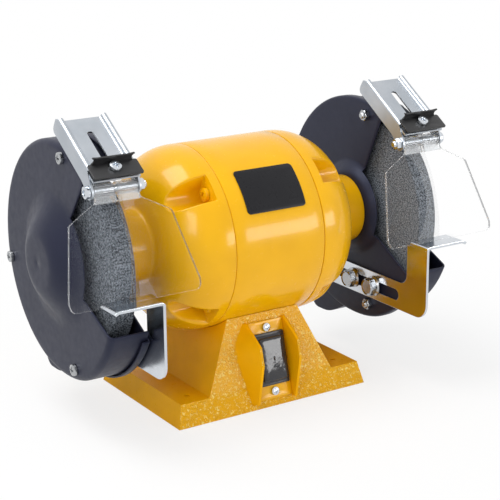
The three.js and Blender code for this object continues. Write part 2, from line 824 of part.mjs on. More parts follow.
function shieldBracket() {
  const left = wheelMid - bracketHalf;
  const right = wheelMid + bracketHalf;
  const cheeks = join(
    sideExtrusion(cheekOutline(), left, left + sheet),
    sideExtrusion(cheekOutline(), right - sheet, right),
  );
  const top = bracketTop - cheekCorner;
  const ridges = [left, right - 2 * sheet].map((x) => (
    block(x, x + 2 * sheet, -ridgeEnd, top, webBottom, ridgeHeight)
  ));
  const web = block(left + sheet / 2, right - sheet / 2, -webEnd, top, webBottom, webTop);
  const footStart = bracketBoltX - footReach;
  const foot = block(footStart, right - sheet / 2, -footLength / 2, footLength / 2, footBottom, footTop);
  const hinge = rodX(hingeBoltRadius + gap, left - over, right + over, hingeAlong, hingeUp);
  const footHole = rodZ(smallBoltRadius + gap, footBottom - over, footTop + over, bracketBoltX, 0);
  return onBracket(cut(join(cheeks, ...ridges, web, foot), slotCutter(), hinge, footHole));
}

function slotCutter() {
  const half = bracketSlotWidth / 2;
  const points = [];
  rounded(points, [wheelMid, bracketSlotTop - half], half, 0, 180, 8);
  rounded(points, [wheelMid, half - bracketSlotBottom], half, 180, 360, 8);
  return plate(points, webBottom - over, webTop + over);
}

function bracketBolt() {
  const headStart = footTop + gap;
  const nutEnd = guardRadius - sheet - 1.5 * gap;
  return onBracket(join(
    rodZ(smallHeadRadius, headStart, headStart + smallHeadHeight, bracketBoltX, 0, boltSides),
    rodZ(smallBoltRadius, nutEnd - smallNutHeight, headStart + over, bracketBoltX, 0),
    rodZ(smallHeadRadius, nutEnd - smallNutHeight, nutEnd, bracketBoltX, 0, 6),
  ));
}

function sparkDeflector() {
  const bottom = ridgeHeight + gap;
  const top = bottom + deflectorThickness;
  const back = deflectorThickness - deflectorBack;
  const base = block(wheelMid - bracketHalf, wheelMid + bracketHalf, -deflectorFront, back, bottom, top);
  const waist = deflectorWaist / 2;
  const half = deflectorFlangeWidth / 2;
  const neck = top + deflectorNeck;
  const rise = top + deflectorFlange;
  const outline = [
    [-half, bottom], [half, bottom], [waist, neck],
    [half, rise], [-half, rise], [-waist, neck],
  ];
  const flange = plate(outline, -deflectorThickness, 0)
    .rotate([90, 0, 0])
    .translate([wheelMid, -deflectorBack, 0]);
  const hole = rodZ(smallBoltRadius + gap, bottom - over, top + over, wheelMid, -deflectorScrewAt);
  return onBracket(cut(join(base, flange), hole));
}

function deflectorScrew() {
  const headStart = ridgeHeight + 2 * gap + deflectorThickness;
  const nutEnd = webBottom - gap;
  return onBracket(join(
    rodZ(smallHeadRadius, headStart, headStart + smallHeadHeight, wheelMid, -deflectorScrewAt, boltSides),
    rodZ(smallBoltRadius, nutEnd - smallNutHeight, headStart + over, wheelMid, -deflectorScrewAt),
    rodZ(smallHeadRadius, nutEnd - smallNutHeight, nutEnd, wheelMid, -deflectorScrewAt, 6),
  ));
}

function hingeBolt() {
  const left = wheelMid - bracketHalf - gap;
  const right = wheelMid + bracketHalf + gap;
  return onBracket(join(
    rodX(hingeBoltRadius, left - hingeNutHeight - boltTip, right + over, hingeAlong, hingeUp),
    hexRod(hingeNutRadius, left - hingeNutHeight, left, hingeAlong, hingeUp),
    rodX(hingeNutRadius, right, right + hingeNutHeight, hingeAlong, hingeUp, boltSides),
  ));
}

// ---------------------------------------------------------------- eye shield
function shieldOutline() {
  const neck = barrelHalf;
  const bottom = -shieldLength;
  const points = [
    [-neck, 0], [-neck, -shieldNeckLength],
    [-shieldShoulderHalf, -shieldShoulder],
    [-shieldHalf, bottom + shieldCorner],
  ];
  rounded(points, [shieldCorner - shieldHalf, bottom + shieldCorner], shieldCorner, 195, 270);
  rounded(points, [shieldHalf - shieldCorner, bottom + shieldCorner], shieldCorner, 270, 345);
  points.push([shieldHalf, bottom + shieldCorner], [shieldShoulderHalf, -shieldShoulder]);
  points.push([neck, -shieldNeckLength], [neck, 0]);
  return points;
}

function hingePlace() {
  const angle = radians(bracketAngle);
  return [
    hingeAlong * Math.cos(angle) - hingeUp * Math.sin(angle),
    hingeAlong * Math.sin(angle) + hingeUp * Math.cos(angle),
  ];
}

function eyeShield() {
  const pane = plate(shieldOutline(), shieldOffset, shieldOffset + shieldThickness);
  const barrel = rodX(barrelRadius, -barrelHalf, barrelHalf, 0, 0, boltSides);
  const bore = rodX(hingeBoltRadius + gap, -barrelHalf - over, barrelHalf + over, 0, 0);
  const reach = barrelRadius + over;
  const split = block(-knuckleGap / 2, knuckleGap / 2, -shieldNeckLength, reach, -reach, reach);
  const [y, z] = hingePlace();
  return cut(join(pane, barrel), bore, split).rotate([90 - shieldLean, 0, 0]).translate([wheelMid, y, z]);
}

// ---------------------------------------------------------------- base
function halfDepth(z) {
  return baseDepth / 2 - faceSlope * z;
}

function pedestalHalfWidth(z) {
  const share = (z - flangeHeight) / (pedestalTop - flangeHeight);
  return (pedestalFootWidth + (pedestalHeadWidth - pedestalFootWidth) * share) / 2;
}

function baseOutside() {
  return join(
    loft([
      rectangle(baseWidth / 2, halfDepth(0), 0),
      rectangle(flangeTopWidth / 2, halfDepth(flangeHeight), flangeHeight),
    ]),
    loft([
      rectangle(pedestalHalfWidth(over), halfDepth(over), over),
      rectangle(pedestalHalfWidth(pedestalTop), halfDepth(pedestalTop), pedestalTop),
    ]),
  );
}

function baseInside() {
  const ceiling = flangeHeight - castWall;
  return join(
    loft([
      rectangle(baseWidth / 2 - castWall, halfDepth(0) - castWall, -over),
      rectangle(flangeTopWidth / 2 - castWall, halfDepth(ceiling) - castWall, ceiling),
    ]),
    loft([
      rectangle(pedestalHalfWidth(0) - castWall, halfDepth(0) - castWall, -over),
      rectangle(pedestalHalfWidth(cavityTop) - castWall, halfDepth(cavityTop) - castWall, cavityTop),
    ]),
  );
}

// Pieces on a sloping face are drawn with X across it, Y up the slope and Z out of the face.
function onFace(solid, side) {
  const turn = side < 0 ? 0 : 180;
  return solid.rotate([90 - THREE.MathUtils.radToDeg(faceLean), 0, 0])
    .translate([0, -baseDepth / 2, 0])
    .rotate([0, 0, turn]);
}

function switchFin(side) {
  const rings = finEdge.map(([z, reach]) => {
    const face = -halfDepth(z);
    const root = face + over;
    const inner = side * finInner;
    const outer = side * (finInner + finThickness);
    const spread = side * (finInner + finThickness + finDraft * reach);
    const edge = face - reach;
    return [[inner, root, z], [inner, edge, z], [outer, edge, z], [spread, face, z], [spread, root, z]];
  });
  return loft(rings);
}

function benchPlaces() {
  return [[-1, -1], [1, -1], [1, 1], [-1, 1]].map(([x, y]) => [x * benchHoleX, y * benchHoleY]);
}

function baseCasting() {
  const bosses = benchPlaces().map(([x, y]) => rodZ(benchBossRadius, 0, flangeHeight - over, x, y));
  const benchHoles = benchPlaces().map(([x, y]) => rodZ(benchHoleRadius, -over, flangeHeight + over, x, y));
  const ribEnd = baseWidth / 2 - castWall / 2;
  const rib = block(-ribEnd, ribEnd, -ribThickness / 2, ribThickness / 2, 0, ribHeight);
  const shell = join(cut(baseOutside(), baseInside()), rib, ...bosses);
  const saddle = rodX(bandRadius + gap, -baseWidth, baseWidth, 0, shaftHeight, 96);
  const halfX = switchBodyWidth / 2 + gap;
  const halfY = switchBodyLength / 2 + gap;
  const holeEnd = switchBodyDepth + 2 * gap;
  const switchHole = block(-halfX, halfX, switchMiddle - halfY, switchMiddle + halfY, -holeEnd, over);
  const screwHoles = switchScrewPlaces.map((up) => (
    rodZ(switchScrewRadius + gap, -switchScrewLength - over, over, 0, up)
  ));
  const glandHole = rodZ(glandRadius + gap, -2 * castWall, over, glandX, glandUp);
  const baseBoltHole = rodZ(baseBoltRadius + gap, cavityTop - over, saddleHeight + bandWall);
  return cut(
    join(shell, switchFin(-1), switchFin(1)),
    saddle,
    onFace(switchHole, -1),
    ...screwHoles.map((hole) => onFace(hole, -1)),
    onFace(glandHole, 1),
    ...benchHoles,
    baseBoltHole,
  );
}

function baseBolt() {
  const headTop = cavityTop - gap;
  const end = saddleHeight + bandWall - gap;
  return join(
    rodZ(baseBoltHead, headTop - baseBoltHeadHeight, headTop, 0, 0, 6),
    rodZ(baseBoltRadius, headTop - over, end),
  );
}

// ---------------------------------------------------------------- switch
const plateBack = gap;
const plateFront = plateBack + switchPlateThickness;
const frameBack = plateFront + gap;
const frameFront = frameBack + switchFrameHeight;

function switchPlate() {
  const half = finInner - gap;
  const body = block(-half, half, switchPlateBottom, switchPlateTop, plateBack, plateFront);
  const halfX = switchBodyWidth / 2 + gap;
  const halfY = switchBodyLength / 2 + gap;
  const window = block(-halfX, halfX, switchMiddle - halfY, switchMiddle + halfY, 0, plateFront + over);
  const holes = switchScrewPlaces.map((up) => rodZ(switchScrewRadius + gap, 0, plateFront + over, 0, up));
  return onFace(cut(body, window, ...holes), -1);
}

function switchBody() {
  const frameX = switchFrameWidth / 2;
  const frameY = switchFrameLength / 2;
  const bodyX = switchBodyWidth / 2;
  const bodyY = switchBodyLength / 2;
  const frame = block(-frameX, frameX, -frameY, frameY, frameBack, frameFront);
  const body = block(-bodyX, bodyX, -bodyY, bodyY, -switchBodyDepth, frameBack + over);
  const wellX = rockerWidth / 2 + gap;
  const wellY = rockerLength / 2 + rockerPlay;
  const well = block(-wellX, wellX, -wellY, wellY, frameFront - wellDepth, frameFront + over);
  return onFace(cut(join(frame, body), well).translate([0, switchMiddle, 0]), -1);
}

// The rocker rests with its lower end pressed in; its faces meet in a shallow valley.
function switchRocker() {
  const half = rockerLength / 2;
  const top = frameFront - rockerRecess;
  const foot = top - rockerEdge;
  const outline = [
    [-half, foot], [0, top - rockerMiddle], [half, foot],
    [half, top], [0, top - rockerDish], [-half, top],
  ];
  const rocker = sideExtrusion(outline, -rockerWidth / 2, rockerWidth / 2);
  const pivot = top - rockerPivot;
  const tilted = rocker
    .translate([0, 0, -pivot])
    .rotate([rockerTilt, 0, 0])
    .translate([0, switchMiddle, pivot]);
  return onFace(tilted, -1);
}

function switchBoot() {
  const base = frameFront + gap;
  const halfX = rockerWidth / 2 + bootPlayX;
  const halfY = rockerLength / 2 + bootPlayY;
  const flangeX = halfX + bootFlange;
  const flangeY = halfY + bootFlange;
  const top = base + bootHeight;
  const shell = join(
    block(-flangeX, flangeX, -flangeY, flangeY, base, base + bootWall),
    loft([rectangle(halfX, halfY, base), rectangle(halfX - bootDraft, halfY - bootDraft, top)]),
  );
  const innerX = halfX - bootWall - bootInset;
  const innerY = halfY - bootWall - bootInset;
  const hollow = block(-innerX, innerX, -innerY, innerY, base - over, top - bootWall);
  return onFace(cut(shell, hollow).translate([0, switchMiddle, 0]), -1);
}

function switchScrew(up) {
  const headStart = plateFront + gap;
  return onFace(join(
    rodZ(switchScrewHead, headStart, headStart + switchScrewHeadHeight, 0, up, boltSides),
    rodZ(switchScrewRadius, -switchScrewLength, headStart + over, 0, up),
  ), -1);
}

// ---------------------------------------------------------------- electrics in the base
function capacitor() {
  const z = cavityTop - gap - capacitorRadius;
  return rodX(capacitorRadius, -capacitorLength / 2, capacitorLength / 2, capacitorY, z, 32);
}

function cableGland() {
  const body = join(
    rodZ(glandRadius, -glandDepth, glandLength, glandX, glandUp, 24),
    rodZ(glandFlange, gap, gap + glandFlangeThickness, glandX, glandUp, 24),
  );
  const bore = rodZ(glandBore, -glandDepth - over, glandLength + over, glandX, glandUp, 24);
  return onFace(cut(body, bore), 1);
}

// ---------------------------------------------------------------- assembly
const grinder = new THREE.Group();

function add(parent, name, solid, material) {
  const mesh = new THREE.Mesh(toGeometry(solid), material);
  mesh.name = name;
  parent.add(mesh);
}

// Pieces drawn about the shaft axis hang in this group.
const atShaft = new THREE.Group();
atShaft.position.z = shaftHeight;
grinder.add(atShaft);

function addMotor() {
  const bell = endBell();
  add(atShaft, 'stator_housing', statorHousing(), yellowPaint);
  add(atShaft, 'end_bell_right', bell, yellowPaint);
  add(atShaft, 'end_bell_left', bell.mirror([1, 0, 0]), yellowPaint);
  boltAngles.forEach((angle, i) => add(atShaft, `through_bolt_${i + 1}`, throughBolt(angle), yellowPaint));
  add(atShaft, 'stator_core', statorCore(), coreSteel);
  add(atShaft, 'stator_winding', statorWinding(), copper);
  add(atShaft, 'rotor_core', rotorCore(), coreSteel);
  add(atShaft, 'motor_shaft', shaft(), steel);
  add(atShaft, 'bearing_right', bearing(), steel);
  add(atShaft, 'bearing_left', bearing().mirror([1, 0, 0]), steel);
  add(atShaft, 'label_plate', labelPlate(), labelFilm);
}

function addSide(label, place) {
  const parts = [
    ['wheel', wheel(), abrasive],
    ['wheel_flange_inner', wheelFlange(shaftShoulder + gap), steel],
    ['wheel_flange_outer', wheelFlange(outerFlangeStart), steel],
    ['wheel_nut', wheelNut(), zinc],
    ['guard_back', guardBack(), guardPaint],
    ['guard_cover', guardCover(), guardPaint],
    ...guardScrewAngles.map((angle, i) => [`guard_screw_${i + 1}`, guardScrew(angle), zinc]),
    ['tool_rest', toolRest(), zinc],
    ...restBoltPlaces.map((y, i) => [`rest_bolt_${i + 1}`, restBolt(y), zinc]),
    ['shield_bracket', shieldBracket(), zinc],
    ['bracket_bolt', bracketBolt(), zinc],
    ['spark_deflector', sparkDeflector(), blackSteel],
    ['deflector_screw', deflectorScrew(), zinc],
    ['eye_shield', eyeShield(), clearPlastic],
    ['hinge_bolt', hingeBolt(), zinc],
  ];
  parts.forEach(([name, solid, material]) => add(atShaft, `${name}_${label}`, place(solid), material));
}

function addBase() {
  add(grinder, 'base_casting', baseCasting(), yellowCast);
  add(grinder, 'base_bolt', baseBolt(), zinc);
  add(grinder, 'switch_plate', switchPlate(), yellowPaint);
  add(grinder, 'switch_body', switchBody(), blackPlastic);
  add(grinder, 'switch_rocker', switchRocker(), blackPlastic);
  add(grinder, 'switch_boot', switchBoot(), smokyPlastic);
  add(grinder, 'switch_screw_lower', switchScrew(switchScrewPlaces[0]), zinc);
  add(grinder, 'switch_screw_upper', switchScrew(switchScrewPlaces[1]), zinc);
  add(grinder, 'capacitor', capacitor(), capacitorShell);
  add(grinder, 'cable_gland', cableGland(), rubber);
}

addMotor();
addSide('right', (solid) => solid);
addSide('left', (solid) => solid.mirror([1, 0, 0]));
addBase();

export default grinder;
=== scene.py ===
import json
from math import asin, atan, cos, degrees, pi, radians, sin, sqrt, tan

import bmesh
import bpy
from mathutils import Matrix, Vector

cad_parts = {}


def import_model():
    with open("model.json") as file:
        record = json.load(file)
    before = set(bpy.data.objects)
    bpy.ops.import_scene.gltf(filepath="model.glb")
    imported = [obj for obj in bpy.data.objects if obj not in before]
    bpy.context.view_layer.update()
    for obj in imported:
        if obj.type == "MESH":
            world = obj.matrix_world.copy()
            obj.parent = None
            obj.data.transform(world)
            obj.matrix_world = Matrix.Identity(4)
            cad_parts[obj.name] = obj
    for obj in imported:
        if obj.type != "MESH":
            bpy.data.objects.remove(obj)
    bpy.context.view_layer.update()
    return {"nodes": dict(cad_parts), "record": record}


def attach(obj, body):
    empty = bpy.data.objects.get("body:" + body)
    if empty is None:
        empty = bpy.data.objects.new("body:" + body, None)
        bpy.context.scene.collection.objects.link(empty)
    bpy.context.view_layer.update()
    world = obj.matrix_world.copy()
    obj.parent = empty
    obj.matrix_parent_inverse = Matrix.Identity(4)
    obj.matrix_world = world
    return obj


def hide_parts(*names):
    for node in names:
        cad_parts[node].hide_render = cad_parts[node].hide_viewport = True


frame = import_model()

# Shapes are written in millimetres, in the CAD frame: X runs along the shaft, -Y is the work side, and Z is
# the height above the bench.
MM = 0.001
SHAFT = 124.5  # height of the shaft axis
GAP = 0.3  # between a fastener and what it lies on
SHEET = 1.5  # thickness of the pressed steel of the guards and brackets
WHEEL_MID = 130.0  # from the middle of the motor to the middle of a wheel


# ---------------------------------------------------------------- shapes
class Shape:
    """Vertices in millimetres and the faces between them."""

    def __init__(self, verts=(), faces=()):
        self.verts = [Vector(v) for v in verts]
        self.faces = [tuple(f) for f in faces]

    def __add__(self, other):
        start = len(self.verts)
        moved = [tuple(i + start for i in face) for face in other.faces]
        return Shape(self.verts + other.verts, self.faces + moved)

    def at(self, matrix):
        faces = self.faces
        if matrix.determinant() < 0:
            faces = [tuple(reversed(f)) for f in faces]
        return Shape([matrix @ v for v in self.verts], faces)

    def moved(self, x=0.0, y=0.0, z=0.0):
        return self.at(Matrix.Translation((x, y, z)))


MIRROR = Matrix.Scale(-1, 4, (1, 0, 0))
SIDES = {"right": Matrix.Identity(4), "left": MIRROR}
FLIP = Matrix.Rotation(pi, 4, "Z")  # turns what points along +X so that it points along -X
UPRIGHT = Matrix.Rotation(-pi / 2, 4, "Y")  # turns what points along +X so that it points along +Z
SIDE_VIEW = Matrix(((0, 0, 1, 0), (1, 0, 0, 0), (0, 1, 0, 0), (0, 0, 0, 1)))  # drawn as (Y, Z), thick along X


def turn_x(angle):
    return Matrix.Rotation(radians(angle), 4, "X")


def polar(radius, angle):
    """(y, height from the shaft) at an angle up from the front."""
    turn = radians(angle)
    return -radius * cos(turn), radius * sin(turn)


def around_x(x, radius, turn):
    return x, radius * cos(turn), radius * sin(turn)


def turns(sides):
    return [2 * pi * i / sides for i in range(sides)]


def smooth(value, low, high):
    t = min(1.0, max(0.0, (value - low) / (high - low)))
    return t * t * (3 - 2 * t)


def lathe(profile, sides=64, closed=False):
    """A profile of (x, radius) pairs turned about the X axis."""
    verts, rings = [], []
    for x, radius in profile:
        if radius < 1e-6:
            rings.append([len(verts)] * sides)
            verts.append((x, 0, 0))
            continue
        rings.append(list(range(len(verts), len(verts) + sides)))
        verts += [around_x(x, radius, turn) for turn in turns(sides)]
    faces = []
    pairs = list(zip(rings, rings[1:]))
    if closed:
        pairs.append((rings[-1], rings[0]))
    for a, b in pairs:
        for i in range(sides):
            j = (i + 1) % sides
            face = [a[i], b[i], b[j], a[j]]
            unique = [v for k, v in enumerate(face) if v not in face[:k]]
            if len(unique) > 2:
                faces.append(unique)
    return Shape(verts, faces)


def tube(rings):
    """Quads between closed rings of equally many points."""
    width = len(rings[0])
    faces = []
    for start in range(0, (len(rings) - 1) * width, width):
        for i in range(width):
            j = (i + 1) % width
            faces.append((start + i, start + j, start + width + j, start + width + i))
    return Shape([point for ring in rings for point in ring], faces)


def loft(rings):
    """A tube with flat ends."""
    shape = tube(rings)
    width = len(rings[0])
    last = (len(rings) - 1) * width
    shape.faces.append(tuple(reversed(range(width))))
    shape.faces.append(tuple(range(last, last + width)))
    return shape


def prism(outline, x0, x1):
    """A solid drawn from the side as (Y, Z), from x0 to x1, with sharp edges."""
    return loft([[(x, y, z) for y, z in outline] for x in (x0, x1)])


def flat_prism(outline, z0, z1):
    """A solid drawn from above as (X, Y), from z0 to z1, with sharp edges."""
    return loft([[(x, y, z) for x, y in outline] for z in (z0, z1)])


def arc(centre, radius, start, end, steps=8):
    x, y = centre
    angles = [radians(start + (end - start) * i / steps) for i in range(steps + 1)]
    return [(x + radius * cos(angle), y + radius * sin(angle)) for angle in angles]


def circle(radius, centre=(0, 0), sides=32):
    return arc(centre, radius, 0, 360 - 360 / sides, sides - 1)


def rod_x(radius, x0, x1, y, z, sides=160):
    return prism(circle(radius, (y, z), sides), x0, x1)


def rod_z(radius, z0, z1, x, y):
    return flat_prism(circle(radius, (x, y)), z0, z1)


def rectangle(half_x, low, high):
    """Corners of a rectangle that is as wide to the left as to the right."""
    return [(-half_x, low), (half_x, low), (half_x, high), (-half_x, high)]


def slot_outline(half_width, low, high):
    """A slot along the second axis, with round ends."""
    top = arc((0, high - half_width), half_width, 0, 180, 10)
    bottom = arc((0, low + half_width), half_width, 180, 360, 10)
    return top + bottom


def rounded(corners, radius, steps=6):
    """A polygon with its corners rounded. A corner is (x, y) or (x, y, radius)."""
    points = []
    count = len(corners)
    for i, corner in enumerate(corners):
        here = Vector(corner[:2])
        before = Vector(corners[i - 1][:2]) - here
        after = Vector(corners[(i + 1) % count][:2]) - here
        size = corner[2] if len(corner) > 2 else radius
        if size <= 0:
            points.append(tuple(here))
            continue
        half = before.angle(after) / 2
        reach = min(size / tan(half), before.length * 0.49, after.length * 0.49)
        size = reach * tan(half)
        start = here + before.normalized() * reach
        end = here + after.normalized() * reach
        middle = here + (before.normalized() + after.normalized()).normalized() * (size / sin(half))
        a, b = start - middle, end - middle
        sweep = a.angle_signed(b)
        for k in range(steps + 1):
            turned = a.copy()
            turned.rotate(Matrix.Rotation(-sweep * k / steps, 2))
            points.append(tuple(middle + turned))
    return points


def taken_from(mesh):
    """The mesh as a bmesh. The mesh itself isn't kept."""
    work = bmesh.new()
    work.from_mesh(mesh)
    bpy.data.meshes.remove(mesh)
    return work


def placed(name, data):
    """A new object in the scene."""
    thing = bpy.data.objects.new(name, data)
    bpy.context.collection.objects.link(thing)
    return thing


def opened(shape, unit=1.0):
    """The shape as a bmesh, scaled by the unit."""
    mesh = bpy.data.meshes.new("opened")
    mesh.from_pydata([v * unit for v in shape.verts], [], shape.faces)
    return taken_from(mesh)


def closed(work, unit=1.0):
    """The bmesh as a shape again, scaled back."""
    work.verts.index_update()
    shape = Shape([v.co / unit for v in work.verts], [tuple(v.index for v in f.verts) for f in work.faces])
    work.free()
    return shape


def everything(work):
    return list(work.verts) + list(work.edges) + list(work.faces)


def sheet(outline, low, high, holes=(), edge=0.3):
    """A flat plate from low to high along Z, with its holes and softly rounded edges."""
    curve = bpy.data.curves.new("plate", "CURVE")
    curve.dimensions = "2D"
    curve.fill_mode = "BOTH"
    for points in (outline, *holes):
        spline = curve.splines.new("POLY")
        spline.points.add(len(points) - 1)
        for point, (x, y) in zip(spline.points, points):
            point.co = (x, y, 0, 1)
        spline.use_cyclic_u = True
    curve.extrude = (high - low) / 2 - edge
    curve.bevel_depth = edge
    curve.bevel_resolution = 2
    curve.offset = -edge
    holder = placed("plate", curve)
    work = evaluated(holder)
    bmesh.ops.remove_doubles(work, verts=work.verts, dist=1e-3)
    bmesh.ops.recalc_face_normals(work, faces=work.faces)
    bpy.data.objects.remove(holder)
    bpy.data.curves.remove(curve)
    return closed(work).moved(z=(low + high) / 2)


def evaluated(thing):
    """The object as it stands after its modifiers, as a bmesh."""
    graph = bpy.context.evaluated_depsgraph_get()
    return taken_from(bpy.data.meshes.new_from_object(thing.evaluated_get(graph)))


def solid(shape):
    """A scene object for combine to work with."""
    work = opened(shape, MM)
    bmesh.ops.triangulate(work, faces=work.faces)
    bmesh.ops.recalc_face_normals(work, faces=work.faces)
    mesh = bpy.data.meshes.new("solid")
    work.to_mesh(mesh)
    work.free()
    return placed("solid", mesh)


def combine(base, joined=(), cut=()):
    """The base with solids joined to it and others then cut out of it."""
    body = solid(base)
    tools = [("UNION", solid(shape)) for shape in joined] + [("DIFFERENCE", solid(shape)) for shape in cut]
    for operation, tool in tools:
        modifier = body.modifiers.new("combine", "BOOLEAN")
        modifier.operation = operation
        modifier.solver = "EXACT"
        modifier.object = tool
    work = evaluated(body)
    bmesh.ops.remove_doubles(work, verts=work.verts, dist=1e-6)
    bmesh.ops.dissolve_limit(work, angle_limit=radians(0.5), verts=work.verts, edges=work.edges)
    for thing in (body, *(tool for _, tool in tools)):
        bpy.data.meshes.remove(thing.data)
    return closed(work, MM)


def mirrored_half(shape):
    """The half at positive X together with its mirror image."""
    work = opened(shape)
    bmesh.ops.bisect_plane(work, geom=everything(work), plane_no=(1, 0, 0), clear_inner=True)
    mirror = bmesh.ops.duplicate(work, geom=everything(work))["geom"]
    for item in mirror:
        if isinstance(item, bmesh.types.BMVert):
            item.co.x = -item.co.x
    bmesh.ops.reverse_faces(work, faces=[item for item in mirror if isinstance(item, bmesh.types.BMFace)])
    bmesh.ops.remove_doubles(work, verts=work.verts, dist=1e-3)
    bmesh.ops.dissolve_limit(work, angle_limit=radians(0.2), verts=work.verts, edges=work.edges)
    return closed(work)


# ---------------------------------------------------------------- pieces
def piece(name, shape, material, body="frame", replaces=(), sharp=30, modifiers=()):
    """An object of the shape, which rides on a body and may stand for CAD nodes."""
    mesh = bpy.data.meshes.new(name)
    mesh.from_pydata([v * MM for v in shape.verts], [], shape.faces)
    mesh.update()
    mesh.shade_smooth()
    mesh.set_sharp_from_angle(angle=radians(sharp))
    thing = placed(name, mesh)
    mesh.materials.append(MATERIALS[material])
    for kind, settings in modifiers:
        modifier = thing.modifiers.new(kind.title(), kind)
        for key, value in settings.items():
            setattr(modifier, key, value)
    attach(thing, body)
    if replaces:
        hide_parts(*replaces)
    return thing


def skin(node, shape, material, body="frame", **options):
    """A piece that stands for one CAD node."""
    piece(f"{node}_skin", shape, material, body, (node,), **options)


def each_side(name, shape, material, body="frame", **options):
    """A skin at both ends: drawn for the right one and mirrored for the left one."""
    for side, matrix in SIDES.items():
        skin(f"{name}_{side}", shape.at(matrix), material, body.format(side), **options)


def solidify(thickness, offset):
    return ("SOLIDIFY", {"thickness": thickness * MM, "offset": offset, "use_even_offset": True})


def bevel(width, segments=3, angle=40):
    return ("BEVEL", {"width": width * MM, "segments": segments, "limit_method": "ANGLE",
                      "angle_limit": radians(angle), "harden_normals": False})


FLAT_FACES = ("WEIGHTED_NORMAL", {"keep_sharp": True, "weight": 100})  # they shade flat up to their edges


# ---------------------------------------------------------------- materials
MATERIALS = {}


def node(tree, kind, inputs=(), **settings):
    """A new shader node. Each of its inputs gets a value, or a link from another node's output."""
    made = tree.nodes.new(f"ShaderNode{kind}")
    for key, value in settings.items():
        setattr(made, key, value)
    for key, value in dict(inputs).items():
        if isinstance(value, bpy.types.NodeSocket):
            tree.links.new(value, made.inputs[key])
        else:
            made.inputs[key].default_value = value
    return made


class Finish:
    """A Principled material. Its patterns are noise, given by size and detail, or the output of a node."""

    def __init__(self, name, color, roughness, metallic=0.0, **sockets):
        MATERIALS[name] = bpy.data.materials.new(name)
        MATERIALS[name].use_nodes = True
        self.tree = MATERIALS[name].node_tree
        self.link = self.tree.links.new
        self.shader = self.tree.nodes["Principled BSDF"]
        values = {"Base Color": (*color, 1), "Roughness": roughness, "Metallic": metallic}
        values.update({socket.replace("_", " "): value for socket, value in sockets.items()})
        for socket, value in values.items():
            self.shader.inputs[socket].default_value = value
        self.coords = node(self.tree, "TexCoord").outputs["Object"]

    def noise(self, size, detail=2.0, rough=0.5, stretch=(1, 1, 1), distortion=0.0):
        """Noise whose features are about size millimetres across, stretched along an axis by its factor."""
        scale = [1 / factor for factor in stretch]
        mapping = node(self.tree, "Mapping", {"Scale": scale, "Vector": self.coords})
        settings = {"Scale": 1 / (size * MM), "Detail": detail, "Roughness": rough, "Distortion": distortion}
        return node(self.tree, "TexNoise", {**settings, "Vector": mapping.outputs["Vector"]}).outputs["Fac"]

    def cells(self, size):
        cells = node(self.tree, "TexVoronoi", {"Scale": 1 / (size * MM), "Vector": self.coords})
        return cells.outputs["Distance"]

    def spread(self, pattern, start, end, low=0.0, high=1.0):
        """Carries the pattern from between start and end to between low and high."""
        value = self.noise(*pattern) if isinstance(pattern, tuple) else pattern
        ends = {"From Min": start, "From Max": end, "To Min": low, "To Max": high}
        return node(self.tree, "MapRange", {**ends, "Value": value}).outputs["Result"]

    def color(self, pattern, low, high, start=0.3, end=0.7):
        share = self.spread(pattern, start, end)
        mix = node(self.tree, "Mix", {"A": (*low, 1), "B": (*high, 1), "Factor": share}, data_type="RGBA")
        mixed = [out for out in mix.outputs if out.type == "RGBA"][0]
        self.link(mixed, self.shader.inputs["Base Color"])

    def roughness(self, pattern, low, high):
        self.link(self.spread(pattern, 0.3, 0.7, low, high), self.shader.inputs["Roughness"])

    def bump(self, pattern, depth):
        """Relief that is depth millimetres deep. A second call adds to the first."""
        value = self.noise(*pattern) if isinstance(pattern, tuple) else pattern
        relief = node(self.tree, "Bump", {"Strength": 1.0, "Distance": depth * MM, "Height": value})
        target = self.shader.inputs["Normal"]
        if target.is_linked:
            self.link(target.links[0].from_socket, relief.inputs["Normal"])
        self.link(relief.outputs["Normal"], target)


def make_paints():
    gloss = Finish("yellow_paint", (0.84, 0.435, 0.001), 0.22, Coat_Weight=0.25, Coat_Roughness=0.07,
                   Specular_IOR_Level=0.2)
    gloss.color((24, 3), (0.81, 0.415, 0.001), (0.87, 0.455, 0.001))
    gloss.roughness((3, 3), 0.2, 0.28)
    gloss.bump((2.2, 2), 0.03)

    cast = Finish("yellow_cast", (0.84, 0.41, 0.001), 0.3, Specular_IOR_Level=0.08)
    cast.color((14, 4), (0.83, 0.4, 0.001), (0.89, 0.44, 0.001))
    cast.roughness((2, 3), 0.26, 0.38)
    cast.bump((2.6, 2), 0.06)

    hammered = Finish("yellow_hammered", (0.84, 0.42, 0.001), 0.2, Coat_Weight=0.1, Coat_Roughness=0.04,
                      Specular_IOR_Level=0.12)
    # painted highlight: where this noise peaks the colour turns pale yellow-white, painting glints on the
    # hammered tops; the same noise drives the real bump
    hammer_relief_and_glints = hammered.noise(1.9, 2, distortion=1.2)
    hammered.color(hammer_relief_and_glints, (0.84, 0.42, 0.001), (1.0, 0.76, 0.2), 0.56, 0.65)
    hammered.bump(hammer_relief_and_glints, 1.8)

    guard = Finish("guard_paint", (0.014, 0.015, 0.03), 0.4, Specular_IOR_Level=0.3,
                   Specular_Tint=(0.66, 0.74, 1.0, 1.0))
    guard.color((30, 3), (0.012, 0.013, 0.027), (0.016, 0.017, 0.033))
    guard.roughness((5, 4), 0.37, 0.46)
    guard.bump((0.8, 2), 0.02)

    black = Finish("black_steel", (0.012, 0.012, 0.013), 0.38)
    black.roughness((4, 3), 0.3, 0.45)
    black.bump((0.7, 2), 0.015)


def make_stone():
    stone = Finish("abrasive", (0.1, 0.112, 0.125), 0.85, Specular_IOR_Level=0.2)
    stone.color((1.1, 2, 0.6), (0.028, 0.033, 0.04), (0.28, 0.31, 0.35), 0.4, 0.64)
    stone.roughness((0.8, 2), 0.7, 0.95)
    stone.bump(stone.cells(0.7), 0.22)
    stone.bump((0.4, 3, 0.7), 0.2)


